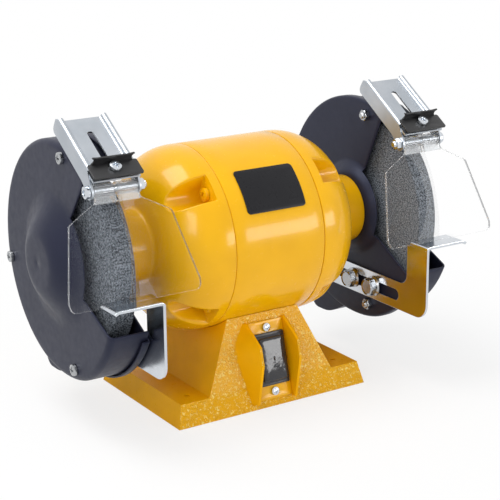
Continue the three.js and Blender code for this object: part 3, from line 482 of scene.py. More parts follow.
def make_metals():
    zinc = Finish("zinc", (0.47, 0.5, 0.54), 0.36, 1.0)
    zinc.color((22, 3), (0.43, 0.465, 0.505), (0.52, 0.545, 0.58))
    zinc.roughness((9, 3), 0.33, 0.43)

    bright = Finish("bright_zinc", (0.62, 0.65, 0.69), 0.18, 1.0)
    bright.color((22, 3), (0.58, 0.615, 0.655), (0.66, 0.685, 0.72))
    bright.roughness((9, 3), 0.15, 0.22)

    bolt = Finish("bolt_zinc", (0.42, 0.43, 0.44), 0.22, 1.0)
    bolt.color((6, 3), (0.38, 0.39, 0.4), (0.46, 0.47, 0.48))
    bolt.roughness((3, 3), 0.18, 0.28)

    steel = Finish("steel", (0.55, 0.56, 0.58), 0.3, 1.0)
    steel.roughness(steel.noise(0.6, 3, stretch=(0.3, 2, 2)), 0.24, 0.38)
    steel.color((8, 3), (0.5, 0.51, 0.53), (0.6, 0.61, 0.63))

    core = Finish("core_steel", (0.3, 0.31, 0.33), 0.5, 1.0)
    core.color(core.noise(0.5, 1, stretch=(0.2, 8, 8)), (0.2, 0.21, 0.22), (0.36, 0.37, 0.39))

    copper = Finish("copper", (0.55, 0.22, 0.08), 0.35, 1.0)
    copper.color(copper.noise(0.8, 2, stretch=(1, 4, 4)), (0.4, 0.15, 0.05), (0.62, 0.27, 0.1))


def make_plastics():
    clear = Finish("clear_plastic", (0.985, 0.992, 0.997), 0.0, Transmission_Weight=1.0, IOR=1.4,
                   Specular_IOR_Level=0.3, Alpha=0.12)
    clear.roughness((40, 2), 0.0, 0.012)

    # painted highlight: a whiter, half-opaque clear plastic whose colour paints the bright lines that light
    # makes along the pane's edges and knuckles
    edge = Finish("clear_edge", (0.95, 0.97, 0.985), 0.06, Transmission_Weight=0.8, IOR=1.49, Alpha=0.62)
    edge.roughness((5, 2), 0.03, 0.1)

    smoky = Finish("smoky_plastic", (0.03, 0.031, 0.036), 0.12, Transmission_Weight=0.15, IOR=1.5)
    smoky.roughness((5, 3), 0.04, 0.14)
    smoky.bump((6, 2), 0.15)

    plastic = Finish("black_plastic", (0.014, 0.014, 0.015), 0.35)
    plastic.roughness((2, 3), 0.3, 0.42)
    plastic.bump((0.35, 2), 0.02)

    shell = Finish("capacitor_shell", (0.7, 0.7, 0.68), 0.4)
    shell.roughness((3, 3), 0.35, 0.5)

    rubber = Finish("rubber", (0.017, 0.017, 0.018), 0.65)
    rubber.roughness((2, 3), 0.55, 0.75)
    rubber.bump((0.5, 3), 0.03)

    film = Finish("label_film", (0.012, 0.012, 0.014), 0.34, Specular_IOR_Level=0.2)
    film.roughness((6, 3), 0.24, 0.36)
    film.bump((0.6, 2), 0.01)


def paint_cad_nodes():
    """Every CAD node that stays in view or inside gets its slot's material."""
    slots = {part["node"]: part["material_slot"] for part in frame["record"]["subparts"]}
    for node, thing in frame["nodes"].items():
        for holder in thing.material_slots:
            holder.material = MATERIALS[slots[node]]


# ---------------------------------------------------------------- fasteners, all along +X from x = 0
THREAD_PITCH, THREAD_DEPTH = 1.0, 0.28
CROSS_ARM, CROSS_REACH, CROSS_DEPTH = 0.13, 0.52, 0.55  # shares of the head's radius and of its height
RINGS_OF_A_HEAD = (0.0, 0.12, 0.2, 0.27, 0.34, 0.42, 0.5, 0.58, 0.68, 0.8, 0.9, 0.96, 1.0)


def cross_head(radius, height):
    """A pan head with a cross recess."""
    rows = []
    for share in RINGS_OF_A_HEAD:
        top = height * (1 - 0.28 * share ** 2) if share < 0.97 else height * 0.5
        row = []
        for turn in turns(40):
            _, y, z = around_x(0, radius * share, turn)
            inside = min(abs(y), abs(z)) < radius * CROSS_ARM and max(abs(y), abs(z)) < radius * CROSS_REACH
            row.append((top - (height * CROSS_DEPTH if inside else 0), y, z))
        rows.append(row)
    rows.append([(0, y, z) for _, y, z in rows[-1]])
    return tube(rows)


def hex_prism(radius, height, chamfer=0.12, dish=0.0):
    """A hexagon whose top corners are turned off."""
    sides = 72
    flat = radius * cos(radians(30))
    levels = [(0, radius), (height * (1 - 1.4 * chamfer), radius),
              (height * (1 - 0.7 * chamfer), flat * 1.06), (height, flat * 0.95),
              (height - dish, flat * 0.8), (height - dish, 0.01)]
    rows = []
    for x, limit in levels:
        row = []
        for i, turn in enumerate(turns(sides)):
            off_flat = (360 * i / sides) % 60 - 30
            row.append(around_x(x, min(flat / cos(radians(off_flat)), limit), turn))
        rows.append(row)
    return tube(rows)


def shank(radius, x0, x1):
    tip = min(0.6, radius * 0.25)
    profile = [(x0, 0), (x0, radius - tip), (x0 + tip, radius)]
    x = x0 + tip
    while x + THREAD_PITCH < x1:
        profile += [(x + THREAD_PITCH * 0.5, radius - THREAD_DEPTH), (x + THREAD_PITCH, radius)]
        x += THREAD_PITCH
    profile += [(x1, radius), (x1, 0)]
    return lathe(profile, 24)


# ---------------------------------------------------------------- motor
BAND_RADIUS, BAND_HALF, BAND_WALL = 69.5, 38.0, 3.5
SEAM = 0.5  # rounding where the band meets a bell
BELL_WALL, BELL_CORNER, BELL_LENGTH, BELL_FACE = 4, 42.3, 38.0, 35.0
NECK_RADIUS, NECK_END = 26.6, 107.2
BOLT_CIRCLE, POCKET_RADIUS, POCKET_FLOOR, POCKET_INNER = 59.0, 8.5, 46.0, 40
BOLT_ANGLES = (45, 135, 225, 315)
LABEL_HALF, LABEL_LOW, LABEL_HIGH = 25, 23.7, 52.3  # half its width, and its angles up the front


def soft_end(x, wall):
    """End of the band or of a bell, from its inside round the corner to its outside."""
    return [(x, BAND_RADIUS - wall), (x, BAND_RADIUS - SEAM), (x + 0.2, BAND_RADIUS - 0.15),
            (x + SEAM, BAND_RADIUS)]


def motor_band():
    left = soft_end(-BAND_HALF, BAND_WALL)
    middle = [(x, BAND_RADIUS) for x in (-25, -12, 0, 12, 25)]
    right = [(-x, radius) for x, radius in reversed(left)]
    shape = lathe(left + middle + right, 160, closed=True).moved(z=SHAFT)
    piece("motor_band", shape, "yellow_paint", replaces=("stator_housing",))


def bell_profile():
    """Section of a bell: its rounded shell, a fillet, and the neck around the shaft."""
    drop = BAND_RADIUS - BELL_FACE
    points = soft_end(BAND_HALF + GAP, BELL_WALL) + [(40, BAND_RADIUS), (41.2, BAND_RADIUS)]
    steps = 44
    for i in range(steps + 1):
        angle = pi / 2 * i / steps
        points.append((BELL_CORNER + BELL_LENGTH * sin(angle), BELL_FACE + drop * cos(angle)))
    for offset in (-0.3, -0.1, 0.1, 0.3):  # close rings for the floor of the pockets
        x = POCKET_FLOOR + offset
        points.append((x, BELL_FACE + drop * sqrt(1 - ((x - BELL_CORNER) / BELL_LENGTH) ** 2)))
    points.sort(key=lambda p: (p[0], -p[1]))
    points += [(80.5, 33), (80.6, 31.2)]
    points += [(83.6 - 3 * sin(a), 29.6 - 3 * cos(a)) for a in (1.4, 1.1, 0.8, 0.5, 0.25, 0.0)]
    points += [(x, NECK_RADIUS) for x in (90, 98, 106.4)]
    points += [(107, NECK_RADIUS - 0.25), (NECK_END, NECK_RADIUS - 0.8), (NECK_END, 8.5)]
    return points


def bell_angles():
    """Where the bell's mesh lines run: close together at the walls of the pockets."""
    offsets = (1.7, 3.4, 5, 6.4, 7.2, 7.8, 8.2, 8.6, 9.0, 9.6, 10.4, 12)
    at_bolt = {0, *offsets, *(-offset for offset in offsets)}
    between = range(-32, 33, 2)
    return sorted([angle + offset for angle in BOLT_ANGLES for offset in at_bolt]
                  + [angle + 45 + offset for angle in BOLT_ANGLES for offset in between])


def bell_radius(x, radius, angle):
    """Distance from the shaft to the bell's skin, less the pocket of the nearest bolt."""
    if radius <= POCKET_INNER:
        return radius
    edge = degrees(asin(POCKET_RADIUS / BOLT_CIRCLE))
    off = min(abs((angle - bolt + 180) % 360 - 180) for bolt in BOLT_ANGLES)
    beside = BOLT_CIRCLE * sin(radians(min(off, edge)))
    floor = BOLT_CIRCLE * cos(radians(off)) - sqrt(max(0.0, POCKET_RADIUS ** 2 - beside ** 2))
    share = 1 - smooth(off, edge - 0.5, edge + 0.9)
    share *= smooth(x, POCKET_FLOOR - 0.2, POCKET_FLOOR + 0.2)
    return radius - max(0.0, radius - floor) * share


def end_bells():
    angles = bell_angles()
    rings = [[around_x(x, bell_radius(x, radius, angle), radians(angle)) for angle in angles]
             for x, radius in bell_profile()]
    shape = tube(rings).moved(z=SHAFT)
    piece("bell_right", shape, "yellow_paint", replaces=("end_bell_right",), sharp=60)
    piece("bell_left", shape.at(MIRROR), "yellow_paint", replaces=("end_bell_left",), sharp=60)


def through_bolts():
    """Long bolts with a cross head in the left bell's pockets and a nut in the right one's."""
    start = POCKET_FLOOR + GAP
    head = cross_head(5, 3.5).moved(x=start, y=BOLT_CIRCLE).at(MIRROR)
    nut = hex_prism(5, 3.5).moved(x=start, y=BOLT_CIRCLE)
    rod = shank(2.5, -start - 0.5, start + 2.6).moved(y=BOLT_CIRCLE)
    for i, angle in enumerate(BOLT_ANGLES):
        shape = (head + nut + rod).at(turn_x(angle)).moved(z=SHAFT)
        skin(f"through_bolt_{i + 1}", shape, "yellow_paint")


def label():
    """A blank plate, drawn flat and bent around the band."""
    inner, outer = BAND_RADIUS + GAP, BAND_RADIUS + 0.7
    low, high = radians(LABEL_LOW), radians(LABEL_HIGH)
    length = inner * (high - low)
    outline = rounded(rectangle(LABEL_HALF, -length / 2, length / 2), 3, 8)
    work = opened(sheet(outline, inner, outer, edge=0.12))
    cuts = 16
    for k in range(1, cuts):
        at = -length / 2 + length * k / cuts
        bmesh.ops.bisect_plane(work, geom=everything(work), plane_co=(0, at, 0), plane_no=(0, 1, 0))
    flat = closed(work)
    verts = []
    for vert in flat.verts:
        turn = (low + high) / 2 + vert.y / inner
        verts.append((vert.x, -vert.z * cos(turn), SHAFT + vert.z * sin(turn)))
    piece("label_blank", Shape(verts, flat.faces), "label_film", replaces=("label_plate",))


# ---------------------------------------------------------------- wheels
WHEEL_RADIUS, WHEEL_HALF, BORE_RADIUS = 75, 8, 6.4
FLANGE_RADIUS, FLANGE = 25, 5


def wheels():
    inner, outer = WHEEL_MID - WHEEL_HALF, WHEEL_MID + WHEEL_HALF
    edge = 0.5
    profile = [(inner, BORE_RADIUS), (inner, 40), (inner, WHEEL_RADIUS - edge), (inner + edge, WHEEL_RADIUS),
               (WHEEL_MID, WHEEL_RADIUS), (outer - edge, WHEEL_RADIUS), (outer, WHEEL_RADIUS - edge),
               (outer, 40), (outer, BORE_RADIUS)]
    each_side("wheel", lathe(profile, 160, closed=True).moved(z=SHAFT), "abrasive", "rotor")
    edge = 0.8
    for name, start in (("wheel_flange_inner", inner - GAP - FLANGE), ("wheel_flange_outer", outer + GAP)):
        ring = [(start, BORE_RADIUS), (start, FLANGE_RADIUS - edge), (start + edge, FLANGE_RADIUS),
                (start + FLANGE - edge, FLANGE_RADIUS), (start + FLANGE, FLANGE_RADIUS - edge),
                (start + FLANGE, BORE_RADIUS)]
        each_side(name, lathe(ring, 72, closed=True).moved(z=SHAFT), "steel", "rotor")
    nut = hex_prism(11, 8).at(turn_x(30)).moved(x=outer + FLANGE + 2 * GAP, z=SHAFT)
    each_side("wheel_nut", nut, "bolt_zinc", "rotor")


# ---------------------------------------------------------------- guards
GUARD_RADIUS, BACK_RADIUS = 86.0, 88.5
COVER_FACE, COVER_RIM, BACK_FACE, LIP_END = 146.2, 116.3, 114.5, 121.0
COVER_CORE, BACK_CORE = 46.0, 35.0  # each pan is closed all round inside this radius
COVER_OPENING, BACK_OPENING = (-24, 53), (-29, 65)  # angles up from the front
DOME_RISE = 13.9
HUB_FACE, HUB_DEPTH = 107.5, 7
SWELL = 2.5  # how far the rim swells below the front
GUARD_SCREW_CIRCLE, GUARD_SCREW_ANGLES = 79, (77, -72, 192)


def rim_reach(radius, angle):
    """The rim's distance from the shaft: a circle that swells below the front."""
    angle = (angle + 180) % 360 - 180
    if angle > -17:
        return radius
    return radius + SWELL * smooth(angle, -95, -60)


def guard_surface(profile, core, opening):
    """A turned sheet, open between the opening's two angles outside the core radius.

    The profile is (x, radius) from the middle out. Radii beyond the core follow the rim's outline."""
    low, high = opening
    rim = max(radius for _, radius in profile)
    steps, gap_steps = 110, 26
    covered = [high + (low + 360 - high) * i / steps for i in range(steps + 1)]
    across = [low + (high - low) * i / gap_steps for i in range(1, gap_steps)]
    verts, faces, rings = [], [], []
    for x, radius in profile:
        whole = radius <= core + 1e-6
        ring = []
        for angle in covered + (across if whole else []):
            stretch = 1.0
            if radius > core:
                stretch = (core + (radius - core) * (rim_reach(rim, angle) - core) / (rim - core)) / radius
            y, z = polar(radius * stretch, angle)
            ring.append(len(verts))
            verts.append((x, y, z + SHAFT))
        rings.append((ring, whole))
    for (a, a_whole), (b, b_whole) in zip(rings, rings[1:]):
        for i in range(len(a) if a_whole and b_whole else steps):
            j = (i + 1) % len(b)
            faces.append((a[i], a[j], b[j], b[i]))
    return Shape(verts, faces)


def with_ring(points, ring, clear):
    """The profile with a ring set in, in place of the points that are as close to it as clear."""
    inside = [p for p in points if p[1] < ring[1] - clear]
    outside = [p for p in points if p[1] > ring[1] + clear]
    return inside + [ring] + outside


def cover_profile():
    """Section of the pressed cover: a dome, a flat face, and a rim with a rounded edge."""
    top, edge = COVER_FACE + DOME_RISE, 4.5

    def dome(radius):
        return top - DOME_RISE * smooth(radius, 17, 50), radius

    points = [(top, 0.01), (top, 8), (top, 14), (top - 0.05, 18)]
    points += [dome(18 + 32 * i / 18) for i in range(1, 19)]
    points = with_ring(points, dome(COVER_CORE), 0.5)
    points += [(COVER_FACE, radius) for radius in (56, 64, 72, 78)]
    points += arc((COVER_FACE - edge, GUARD_RADIUS - edge), edge, 0, 90, 8)
    return points + [(x, GUARD_RADIUS) for x in (136, 128, 120, COVER_RIM)]


def back_profile():
    """Section of the back plate: a sunk hub, a flat face, and a lip around the cover."""
    edge = 2.0

    def hub(radius):
        return HUB_FACE + HUB_DEPTH * smooth(radius, 27.5, 39), radius

    points = [(HUB_FACE, radius) for radius in (9.5, 20, 27)]
    points += [hub(27 + 12.5 * i / 12) for i in range(1, 12)]
    points = with_ring(points, hub(BACK_CORE), 0.4)
    points += [(BACK_FACE, radius) for radius in (40, 50, 60, 70, 80, 84)]
    points += arc((BACK_FACE + edge, BACK_RADIUS - edge), edge, 180, 90, 5)
    return points + [(118.5, BACK_RADIUS), (LIP_END, BACK_RADIUS)]


def guards():
    cover = guard_surface(cover_profile(), COVER_CORE, COVER_OPENING)
    each_side("guard_cover", cover, "guard_paint", sharp=50,
              modifiers=(solidify(SHEET, -1), bevel(0.35, 2, 50)))
    back = guard_surface(back_profile(), BACK_CORE, BACK_OPENING)
    each_side("guard_back", back, "guard_paint", sharp=50,
              modifiers=(solidify(SHEET, 1), bevel(0.35, 2, 50)))


def guard_screws():
    head = cross_head(4.3, 3.0).moved(x=COVER_FACE + GAP)
    nut = hex_prism(4.6, 4).at(FLIP).moved(x=BACK_FACE - GAP)
    rod = shank(2.5, BACK_FACE - 6.1, COVER_FACE + 1)
    for i, angle in enumerate(GUARD_SCREW_ANGLES):
        y, z = polar(GUARD_SCREW_CIRCLE, angle)
        name = f"guard_screw_{i + 1}"
        each_side(name, (head + nut + rod).moved(y=y, z=z + SHAFT), "bolt_zinc")


CHUTE_ROOT = 72  # the chute is drawn from this radius, inside the rim
CHUTE_FRONT, CHUTE_REAR = -95, -127  # angles at which it leaves the rim
CHUTE_FLOOR, CHUTE_CEILING = -99.0, -72.0  # heights from the shaft
CHUTE_END = 131.0


def chute_outline(grow, longer):
    """Side of the dust chute as (y, height from the shaft), evenly grown and with a longer mouth."""
    floor, ceiling = CHUTE_FLOOR - grow, CHUTE_CEILING + grow
    inside = degrees(grow / GUARD_RADIUS)
    front, rear = CHUTE_FRONT + inside, CHUTE_REAR - inside
    corners = [(*polar(CHUTE_ROOT, front), 0), (*polar(GUARD_RADIUS, front), 4), (33, floor, 36),
               (55 + longer, floor, 9 + grow), (63 + longer, ceiling, 3), (*polar(GUARD_RADIUS, rear), 3),
               (*polar(CHUTE_ROOT, rear), 0)]
    return rounded(corners, 0, 6)


def chute():
    """Dust outlet: a flattened duct that leaves the rim below and opens to the rear."""
    outer = prism(chute_outline(0, 0), COVER_RIM, CHUTE_END)
    inner = prism(chute_outline(-SHEET, 14), COVER_RIM + SHEET, CHUTE_END - SHEET)
    pan = rod_x(GUARD_RADIUS - 0.8, 100, 150, 0, 0)
    shape = combine(outer, cut=(inner, pan)).moved(z=SHAFT)
    for side, matrix in SIDES.items():
        piece(f"dust_chute_{side}_skin", shape.at(matrix), "guard_paint", sharp=35,
              modifiers=(bevel(0.45, 3, 40),))


# ---------------------------------------------------------------- tool rests
REST_SIDE, REST_SHEET, REST_BEND = 112.1, 2.1, 3.0
REST_FRONT, REST_TOP = -97.5, 113.5
LEG_REAR, ARM_REAR = -73.5, 24.0
ARM_TOP, ARM_BOTTOM = 78.0, 55.5
ARM_MIDDLE = (ARM_TOP + ARM_BOTTOM) / 2
ARM_SLOT = (-64, 14, 4.3)  # front end, rear end, half width
CURL_START, CURL = 146.2, 4.0  # the outer edge of the working face curls down


def rest_arm():
    """The leg and the slotted arm, cut from one plate."""
    inner_corner, outer_corner = 8, 12
    outline = [(REST_FRONT, REST_TOP - REST_BEND), (LEG_REAR, REST_TOP - REST_BEND)]
    outline += arc((LEG_REAR + inner_corner, ARM_TOP + inner_corner), inner_corner, 180, 270, 8)
    outline += rounded([(ARM_REAR - 10, ARM_TOP, 0), (ARM_REAR, ARM_TOP), (ARM_REAR, ARM_BOTTOM),
                        (ARM_REAR - 10, ARM_BOTTOM, 0)], 2.5, 5)
    outline += arc((REST_FRONT + outer_corner, ARM_BOTTOM + outer_corner), outer_corner, 270, 180, 10)
    front, rear, half = ARM_SLOT
    slot = arc((rear - half, ARM_MIDDLE), half, -90, 90, 10)
    slot += arc((front + half, ARM_MIDDLE), half, 90, 270, 10)
    return sheet(outline, REST_SIDE, REST_SIDE + REST_SHEET, [slot], edge=0.35).at(SIDE_VIEW)


def rest_section(bend_radius, top, curl_radius):
    """One side of the sheet: the bend from the leg, the working face and the curled edge."""
    bend = arc((REST_SIDE + REST_BEND, REST_TOP - REST_BEND), bend_radius, 180, 90, 8)
    flat = [(x, top) for x in (120, 130, 140)]
    curl = arc((CURL_START, REST_TOP - REST_SHEET - CURL), curl_radius, 90, 42, 6)
    return bend + flat + curl


def rest_face():
    outside = rest_section(REST_BEND, REST_TOP, CURL + REST_SHEET)
    inside = rest_section(REST_BEND - REST_SHEET, REST_TOP - REST_SHEET, CURL)
    middles = [(Vector(a) + Vector(b)) / 2 for a, b in zip(outside, inside)]
    rings = []
    for y, grow in ((REST_FRONT, -0.35), (REST_FRONT + 0.1, -0.1), (REST_FRONT + 0.35, 0), (-85, 0), (-77, 0),
                    (-76.6, -0.1), (-76.5, -0.35)):
        ring = []
        for point, middle in zip(outside + inside[::-1], middles + middles[::-1]):
            away = Vector(point) - middle
            spot = middle + away * (1 + grow / away.length)
            ring.append((spot.x, y, spot.y))
        rings.append(ring)
    return loft(rings)


def tool_rests():
    each_side("tool_rest", rest_arm() + rest_face(), "bright_zinc", "rest_{}", sharp=35,
              modifiers=(FLAT_FACES,))


def rest_bolts():
    collar = REST_SIDE - GAP
    washer = lathe([(0, 0), (0, 8), (0.6, 8), (1.9, 6.6), (2.0, 0)], 48).at(FLIP).moved(x=collar)
    head = hex_prism(7.4, 5.5, 0.2, dish=0.6).at(FLIP).moved(x=collar - 2)
    nut = hex_prism(7.4, 3.6).moved(x=BACK_FACE + SHEET + GAP)
    rod = shank(4, collar - 2, 119.9)
    for i, y in enumerate((-6, -33)):
        name = f"rest_bolt_{i + 1}"
        each_side(name, (washer + head + nut + rod).moved(y=y, z=ARM_MIDDLE), "bolt_zinc")


# ---------------------------------------------------------------- shield brackets, in their own frame
BRACKET = Matrix.Translation((0, 0, SHAFT)) @ turn_x(33)  # X across, Y along, Z away from the shaft
BRACKET_HALF, BRACKET_END = 18.5, 43
CHEEK_BOTTOM, WEB_TOP, RIDGE, RIDGE_FOLD = 85.8, 96.3, 99.3, 2.2
HINGE_ALONG, HINGE_UP, EAR = -18.0, 86.0, 5.5
FOOT_LOW, FOOT_HIGH, BRACKET_BOLT = 86.3, 87.8, 134  # the foot lies on the guard, with a bolt at this X
BRACKET_SLOT = (2.6, -16.5, 27)  # half width, and where it starts and ends along
DEFLECTOR_SHEET, DEFLECTOR_SCREW = 1.2, -13


def cheek_outline():
    points = [(BRACKET_END, CHEEK_BOTTOM + 4), (BRACKET_END - 0.6, CHEEK_BOTTOM + 1.6),
              (BRACKET_END - 2.5, CHEEK_BOTTOM), (HINGE_ALONG + 12, CHEEK_BOTTOM),
              (HINGE_ALONG + 7, CHEEK_BOTTOM - 0.9), (HINGE_ALONG + 4, CHEEK_BOTTOM - 2.6)]
    points += arc((HINGE_ALONG, HINGE_UP), EAR, 302, 110, 16)
    points += [(-10.5, RIDGE - RIDGE_FOLD), (40, RIDGE - RIDGE_FOLD), (BRACKET_END, RIDGE - 3.4)]
    return points[::-1]


def bent_section():
    """Across the bracket: rounded ridges at both edges and a web between them, in one bent sheet."""
    half, low = BRACKET_HALF, WEB_TOP - SHEET
    ridge = arc((half - RIDGE_FOLD, RIDGE - RIDGE_FOLD), RIDGE_FOLD, 0, 165, 12)
    ridge += arc((half - 5.9, WEB_TOP + 1.6), 1.6, -12, -90, 5)
    right = [(half - SHEET, low - 2), (half, low - 2)] + ridge
    left = [(-x, z) for x, z in right[::-1]]
    return right + left + [(-(half - SHEET), low), (half - SHEET, low)]


def brackets():
    half = BRACKET_HALF
    section = bent_section()
    bar = loft([[(x, y, z) for x, z in section] for y in (-10, 40)])
    tongue = rectangle(half - 0.8, -19, -9)
    foot = rounded([(-6, -8, 2.5), (half - 0.7, -8, 0), (half - 0.7, 8, 0), (-6, 8, 2.5)], 0)
    joined = [prism(cheek_outline(), -half, -half + SHEET), prism(cheek_outline(), half - SHEET, half),
              flat_prism(tongue, WEB_TOP - SHEET, WEB_TOP), flat_prism(foot, FOOT_LOW, FOOT_HIGH)]
    cut = [flat_prism(slot_outline(*BRACKET_SLOT), WEB_TOP - 6, WEB_TOP + 6),
           rod_x(2.7, -30, 30, HINGE_ALONG, HINGE_UP, 32)]
    shape = combine(bar, joined, cut).moved(x=WHEEL_MID).at(BRACKET)
    for side, matrix in SIDES.items():
        piece(f"bracket_{side}_skin", shape.at(matrix), "zinc", replaces=(f"shield_bracket_{side}",),
              sharp=38, modifiers=(bevel(0.35, 2, 40), FLAT_FACES))


def small_screw(low, nut_top, head_base, high):
    """A screw along Z: its thread from low to high, its nut below nut_top and its head on head_base."""
    parts = cross_head(4.2, 2.8).moved(x=head_base) + shank(2.3, low, high) \
        + hex_prism(4.2, 3.0).at(FLIP).moved(x=nut_top)
    return parts.at(UPRIGHT)


def bracket_bolts():
    place = small_screw(low=80.9, nut_top=84.05, head_base=88.1, high=88.7).moved(x=BRACKET_BOLT).at(BRACKET)
    each_side("bracket_bolt", place, "zinc")


# ---------------------------------------------------------------- spark deflectors
def deflector_flange(low, high):
    """The upturned flange, seen from the front: its sides are waisted and it ends in two horns."""
    right = [(16, low + 0.3, 0.5), (14.6, high - 4.8, 1.5), (14, high - 3, 1.5), (14.6, high - 1.6, 1),
             (16, high - 0.6, 0.5), (15.6, high, 0.4), (11.5, high - 0.5, 4)]
    left = [(-x, z, radius) for x, z, radius in right]
    return rounded([left[0], *right, *left[:0:-1]], 0.5, 4)


def spark_deflectors():
    low = RIDGE + GAP
    high = low + DEFLECTOR_SHEET
    outline = rounded(rectangle(BRACKET_HALF, -21, -7.4), 1.6)
    plate = sheet(outline, low, high, [circle(2.6, (0, DEFLECTOR_SCREW))], edge=0.25)
    flange = sheet(deflector_flange(low, high + 6), 6.8, 6.8 + DEFLECTOR_SHEET, edge=0.25).at(turn_x(90))
    shape = (plate + flange).moved(x=WHEEL_MID).at(BRACKET)
    each_side("spark_deflector", shape, "black_steel", "deflector_{}", sharp=35)
    screw = small_screw(low=91.5, nut_top=94.5, head_base=101.1, high=101.6)
    place = screw.moved(x=WHEEL_MID, y=DEFLECTOR_SCREW).at(BRACKET)
    each_side("deflector_screw", place, "bright_zinc", "deflector_{}")


# ---------------------------------------------------------------- eye shields
PANE_LEAN = 21  # degrees from upright
PANE_BOTTOM, NECK_HALF, SLIT_HALF = -77.0, 16.7, 1.2
KNUCKLE_REACH = 10  # from the hinge's axis to the end of a knuckle's leg


def hinge_bolts():
    left, right = WHEEL_MID - BRACKET_HALF - GAP, WHEEL_MID + BRACKET_HALF + GAP
    shape = shank(2.4, left - 5.6, right + 1) + hex_prism(4.4, 3.6).at(FLIP).moved(x=left) \
        + cross_head(4.4, 3.6).moved(x=right)
    place = shape.moved(y=HINGE_ALONG, z=HINGE_UP).at(BRACKET)
    each_side("hinge_bolt", place, "bright_zinc")


def knuckle(x0, x1):
    """Half of the shield's hinge: a tube with a leg that runs out into the pane."""
    outline = arc((0, 0), 4.6, 160, 482, 36) + [(-9.5, 3.8), (-9.5, 1.7)]
    return sheet(outline, x0, x1, [circle(2.7, sides=24)], edge=0.5).at(SIDE_VIEW)


def pane():
    """The clear pane, drawn flat and hanging from the hinge, with a slit in the middle of its neck."""
    right = [(SLIT_HALF, -8, 1), (SLIT_HALF, -3, 0.4), (NECK_HALF, -3, 0.5), (NECK_HALF, -8, 3),
             (38.5, -20, 4), (49.5, PANE_BOTTOM + 7, 7), (48.2, PANE_BOTTOM, 8)]
    left = [(-x, y, radius) for x, y, radius in right[::-1]]
    return sheet(rounded(right + left, 2), 1.5, 4.0, edge=0.35)


def eye_shields():
    shape = pane() + knuckle(-NECK_HALF, -SLIT_HALF) + knuckle(SLIT_HALF, NECK_HALF)
    stand = turn_x(90 - PANE_LEAN)
    hinge = BRACKET @ Vector((0, HINGE_ALONG, HINGE_UP))
    place = shape.at(stand).moved(x=WHEEL_MID, y=hinge.y, z=hinge.z)
    each_side("eye_shield", place, "clear_plastic", "shield_{}", modifiers=(FLAT_FACES,))
    across = stand.to_3x3() @ Vector((0, 0, 1))
    for side in ("left", "right"):
        paint_edge_highlights(bpy.data.objects[f"eye_shield_{side}_skin"].data, across, hinge)


def paint_edge_highlights(mesh, across, hinge):
    """Gives the knuckles, and all faces that don't look across the pane, the clear_edge finish, whose whiter,
    less clear colour paints bright highlights along them.
    """
    mesh.materials.append(MATERIALS["clear_edge"])
    for face in mesh.polygons:
        beside = (face.center.yz - hinge.yz * MM).length < KNUCKLE_REACH * MM
        face.material_index = int(beside or abs(face.normal.dot(across)) < 0.9)


# ---------------------------------------------------------------- base
BASE_HALF_WIDTH, BASE_HALF_DEPTH, BASE_WALL = 83, 60.0, 5
FLANGE_HALF_WIDTH, FLANGE_HEIGHT = 79, 17.3
PEDESTAL_FOOT, PEDESTAL_HEAD, PEDESTAL_TOP = 109, 58, 74.0  # its widths at the flange and at its top
HOLLOW_TOP = 48
BENCH_HOLE = 2.2  # radius
SLOPE = 0.25  # the front and the rear lean inwards by this much for each millimetre of height
FRONT = Matrix.Translation((0, -BASE_HALF_DEPTH, 0)) @ turn_x(90 - degrees(atan(SLOPE)))
REAR = Matrix.Rotation(pi, 4, "Z") @ FRONT  # both have X across, Y up the face and Z out of it
FIN_INNER, FIN_OUTER, FIN_SPREAD = 15.5, 17.5, 0.49
FIN_EDGE = ((5, 4.8), (20, 11.2), (38, 19), (51, 18.8), (58, 10), (64, 2))  # height, reach from the face


def half_depth(z):
    return BASE_HALF_DEPTH - SLOPE * z


def half_width(z):
    share = (z - FLANGE_HEIGHT) / (PEDESTAL_TOP - FLANGE_HEIGHT)
    return (PEDESTAL_FOOT + (PEDESTAL_HEAD - PEDESTAL_FOOT) * share) / 2


def box_ring(half_x, half_y, z):
    return [(x, y, z) for x, y in rectangle(half_x, -half_y, half_y)]


def switch_fin():
    """The fin to the right of the switch, which is wider at its root."""
    rings = []
    for z, out in FIN_EDGE:
        face = -half_depth(z)
        root = FIN_OUTER + FIN_SPREAD * out
        rings.append([(FIN_INNER, face + 1, z), (FIN_INNER, face - out, z), (FIN_OUTER, face - out, z),
                      (root, face, z), (root, face + 1, z)])
    return loft(rings)


def base_shape():
    """The hollow casting, worked out for its right half and mirrored."""
    wall = BASE_WALL
    ceiling = FLANGE_HEIGHT - wall
    foot = loft([box_ring(BASE_HALF_WIDTH, half_depth(0), 0),
                 box_ring(FLANGE_HALF_WIDTH, half_depth(FLANGE_HEIGHT), FLANGE_HEIGHT)])
    pedestal = loft([box_ring(half_width(z), half_depth(z), z) for z in (1, PEDESTAL_TOP)])
    low_hollow = loft([box_ring(BASE_HALF_WIDTH - wall, half_depth(0) - wall, -1),
                       box_ring(FLANGE_HALF_WIDTH - wall, half_depth(ceiling) - wall, ceiling)])
    high_hollow = loft([box_ring(half_width(z) - wall, half_depth(z) - wall, z) for z in (-1, HOLLOW_TOP)])
    saddle = rod_x(BAND_RADIUS + GAP, -90, 90, 0, SHAFT)
    bench_holes = [rod_z(BENCH_HOLE, -1, 30, x, y) for x in (-66, 66) for y in (-42, 42)]
    switch_well = flat_prism(around_switch(*WINDOW), -22.6, 3).at(FRONT)
    cut = (saddle, low_hollow, high_hollow, *bench_holes, switch_well)
    return mirrored_half(combine(foot, (pedestal, switch_fin()), cut))


